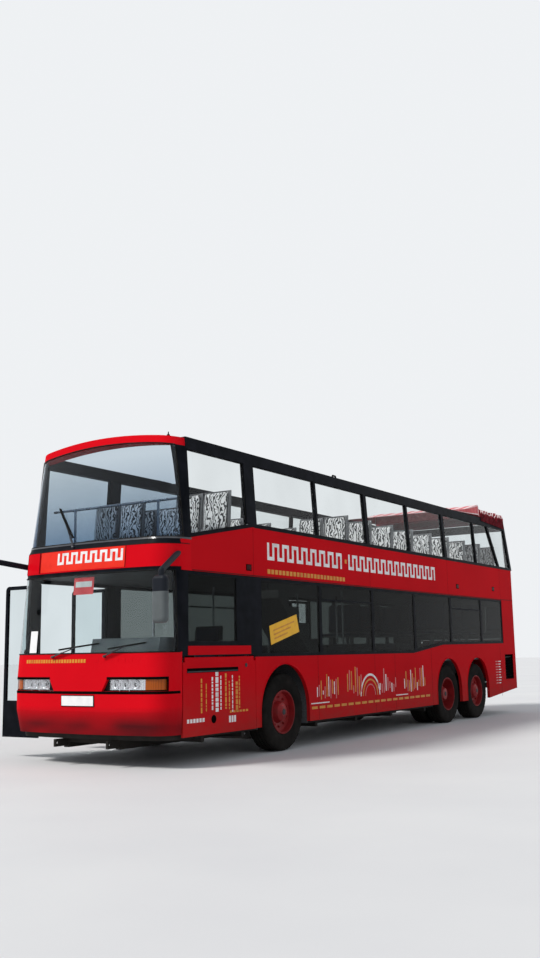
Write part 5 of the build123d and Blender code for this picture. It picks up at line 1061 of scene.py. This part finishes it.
def cloth_sheet(shape, rows, slots=None):
    """A closed sheet: rows of points and the same rows moved by the cloth's thickness along its normal."""
    count, n = len(rows), len(rows[0])
    rows = [[Vector(p) for p in row] for row in rows]
    under = []
    for i, row in enumerate(rows):
        below = []
        for k, p in enumerate(row):
            along = rows[min(i + 1, count - 1)][k] - rows[max(i - 1, 0)][k]
            across = row[min(k + 1, n - 1)] - row[max(k - 1, 0)]
            below.append(p - across.cross(along).normalized() * CLOTH)
        under.append(below)
    start = len(shape.slots)
    shape.sheet(rows, under)
    if slots:
        for i in range(2 * count):
            for k in range(n - 1):
                shape.slots[start + i * (n - 1) + k] = slots(min(i, 2 * count - 2 - i), k)


def canopy_flap():
    """The sloping front flap of striped cloth, its side edges turned down and its end hanging."""
    shape = Shape()
    line = [(FLAP_START + FLAP_RUN * t, 0.010 + FLAP_RISE * t - FLAP_SAG * sin(pi * t))
            for t in (k / 16 for k in range(17))]
    line += [(4.362, 0.240), (4.385, 0.205), (4.402, 0.150), (4.415, 0.090), (4.420, 0.040)]
    rows = []
    for n, (y, z) in enumerate(line):
        row = []
        share = min(1.0, n / 10)
        for k in range(-30, 31):
            edge = max(0, abs(k) - 24)
            x = CANOPY_HALF * max(-1.0, min(1.0, k / 24))
            x += copysign(0.006 * sin(edge * 0.9 + n * 0.8) * share, k) - copysign(0.006, k)
            wave = 0.5 + 0.5 * sin(9.0 * x + 1.3 * sin(3.0 * y))
            sag = (0.010 * share if edge == 0 and n < 18 else 0.0) * wave
            height = CANOPY_BASE + CLOTH + z - z * TURNED_DOWN[edge] - sag
            row.append((x, y + 0.010 * wave * share, height))
        rows.append(row)

    def slots(i, k):
        edge = max(0, abs(k - 29.5) - 23.5)
        return 2 if edge in (1, 6) or i in (17, 21) else 1 if 1 < edge < 6 or i > 17 else 0

    cloth_sheet(shape, rows, slots)
    piece = shape.make("canopy_flap", "canopy_fabric", "awning salmon hem")
    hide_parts("folded_canopy")


def drape(edge, lift, along):
    """The folds' side edge hanging over the rail, lower towards the rear; each pleat stands out a little."""
    x, y, z = edge
    hang = 0.065 + 0.060 * along
    down = []
    for share in DRAPE:
        height = CANOPY_BASE + share * (z - CANOPY_BASE if share > 0 else hang)
        out = RAIL_FACE + RAIL_LEAN * max(0.0, CANOPY_BASE - height) + 0.008 + 0.016 * lift
        down.append((copysign(out, x), y, height))
    return down


def canopy_folds():
    """The gathered red folds behind the flap, drawn up in loops of uneven height, with pale strips along
    their side edges on the tops of the loops.
    """
    shape, hem = Shape(), Shape()
    chance = random.Random(23)
    heights = [0.130 + 0.060 * chance.random() for _ in range(PLEATS)]
    phases = [6.283 * chance.random() for _ in range(PLEATS)]
    rows = []
    for j in range(PLEATS * STEPS_A_PLEAT + 1):
        n, t = min(j // STEPS_A_PLEAT, PLEATS - 1), j / STEPS_A_PLEAT
        turn = 2 * pi * (t % 1.0)
        lift = (0.5 - 0.5 * cos(turn)) ** 0.8
        y = FOLDS_START + FOLDS_RUN * t / PLEATS + 0.020 * sin(turn)
        row = []
        for k in range(STEPS_ACROSS + 1):
            x = (CANOPY_HALF - 0.004) * (2 * k / STEPS_ACROSS - 1)
            sway = sin(5.0 * x + phases[n]) + 0.5 * sin(13.0 * x + 2.0 * phases[n])
            flutter = sin(31.0 * x + 3.0 * phases[n]) * 0.006
            edge = max(0.0, abs(x) / CANOPY_HALF - 0.9) / 0.1
            z = 0.012 + (heights[n] * (1.0 + 0.10 * sway) + flutter - 0.03 * edge) * lift
            row.append((x, y + 0.010 * sway * lift, CANOPY_BASE + min(z, FOLDS_TOP)))
        left, right = (drape(row[end], lift, t / PLEATS) for end in (0, -1))
        rows.append(left[::-1] + row + right)
    cloth_sheet(shape, rows)
    # Pale tubes only on the tops of the loops, along the cloth's side edges.
    for k in (len(DRAPE), len(DRAPE) + STEPS_ACROSS):
        for n in range(0, PLEATS * STEPS_A_PLEAT, STEPS_A_PLEAT):
            tip = [row[k] for row in rows[n + 2:n + 7]]
            hem.tube([(x + copysign(0.008, x), y, z) for x, y, z in tip], 0.0075, 0, 6)
    piece = shape.make("canopy_folds", "canopy_fabric", "canopy")
    edge = hem.make("canopy_pale_edge", "canopy_fabric", "hem")
    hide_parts("folded_canopy")


canopy_flap()
canopy_folds()


# The rear

def engine_flap_dressing():
    """Louvres, blank plate in its frame and handle of the engine flap."""
    shape = Shape()
    for column in (-1, 1):
        x = sorted((column * 0.18, column * 0.80))
        for row in range(9):
            z = 0.86 + 0.055 * row
            shape.box(x, (5.990, 6.004), (z, z + 0.012))
            shape.box(x, (5.999, 6.001), (z + 0.012, z + 0.040), 1)
    shape.box((-0.26, 0.26), (5.998, 6.004), (0.655, 0.775), 2)
    shape.box((-0.25, 0.25), (6.000, 6.006), (0.663, 0.767), 3)
    shape.box((-0.09, 0.09), (5.998, 6.014), (0.795, 0.820), 2)
    shape.make("engine_flap_dressing", "body_red", "paint gap rubber plate", "engine_flap", bevel=0.002)


def rear_dressing():
    """The rear lamps' bezels and rounds, and the bumper's rubber strip."""
    shape = Shape()
    bezel = (5.996, 6.008)
    for side in (1, -1):
        x = [side * v for v in (0.998, 1.012, 1.108, 1.122)]
        shape.box(x[:2], bezel, (0.838, 1.432))
        shape.box(x[2:], bezel, (0.838, 1.432))
        for z in (0.838, 0.985, 1.130, 1.275, 1.420):
            shape.box((x[0], x[3]), bezel, (z, z + 0.012))
        for z, slot in ((0.918, 2), (1.063, 1), (1.208, 1), (1.353, 3)):
            shape.lathe([(0.0, 0.044), (0.006, 0.042), (0.010, 0.030), (0.011, 0.0)],
                        (side * 1.06, 5.999, z), (0, 1, 0), slot, 24)
    shape.box((-1.13, 1.13), (6.036, 6.0395), (0.515, 0.545))
    shape.make("rear_dressing", "frame_black", "rubber lens_red lens_clear lens_amber", bevel=0.001)


engine_flap_dressing()
rear_dressing()


# Camera, light and stage

def sun(name, strength, direction, angle, colour):
    data = bpy.data.lights.new(name, "SUN")
    data.energy, data.angle, data.color = strength, radians(angle), colour
    made = put(name, data)
    made.rotation_mode = "QUATERNION"
    made.rotation_quaternion = Vector(direction).to_track_quat("-Z", "Y")


def sky():
    """A plain surrounding, brighter to the eye and in reflections than as a light."""
    scene.world = bpy.data.worlds.new("studio")
    scene.world.use_nodes = True
    studio = Tree(scene.world.node_tree)
    rays = studio.add("LightPath").outputs
    seen = studio.math("MAXIMUM", rays["Is Camera Ray"], rays["Is Glossy Ray"])
    seen = studio.math("MAXIMUM", seen, rays["Is Transmission Ray"])
    lit = studio.add("Background", Color=(0.86, 0.92, 1.0), Strength=0.52)
    shown = studio.add("Background", Color=(0.86, 0.88, 0.90), Strength=1.0)
    studio.add("OutputWorld", Surface=studio.add("MixShader", ((0, seen), (1, lit), (2, shown))))


def stage():
    """The pale floor."""
    m = Material("studio_floor", Roughness=0.7)
    m.colour(m.ramp(m.noise(0.5, 3.0), (0.2, (0.60, 0.60, 0.61)), (0.8, (0.66, 0.66, 0.66))))
    mesh = bpy.data.meshes.new("floor")
    mesh.from_pydata([(-120, -120, 0), (120, -120, 0), (120, 120, 0), (-120, 120, 0)], [], [(0, 1, 2, 3)])
    mesh.materials.append(MATERIALS["studio_floor"])
    put("floor", mesh)


# The photograph's camera: where it stands, and how far it is turned left of +Y, tilted up and rolled
CAMERA_AT = (8.605, -15.063, 1.305)
TURNED, TILTED, ROLLED = 32.66, 9.757, -0.986
view = bpy.data.cameras.new("camera")
view.sensor_width, view.lens, view.clip_end = 36.0, 37.845, 300.0
scene.camera = put("camera", view)
stand = Matrix.Translation(CAMERA_AT)
for degrees, axis in ((TURNED, "Z"), (90 + TILTED, "X"), (ROLLED, "Z")):
    stand = stand @ Matrix.Rotation(radians(degrees), 4, axis)
scene.camera.matrix_world = stand
sun("key", 3.0, (0.38, 0.68, -0.84), 14, (1.0, 0.975, 0.94))
sun("fill", 0.20, (-0.9, 0.45, -0.5), 40, (0.93, 0.96, 1.0))
sky()
stage()
scene.view_settings.view_transform = "Standard"
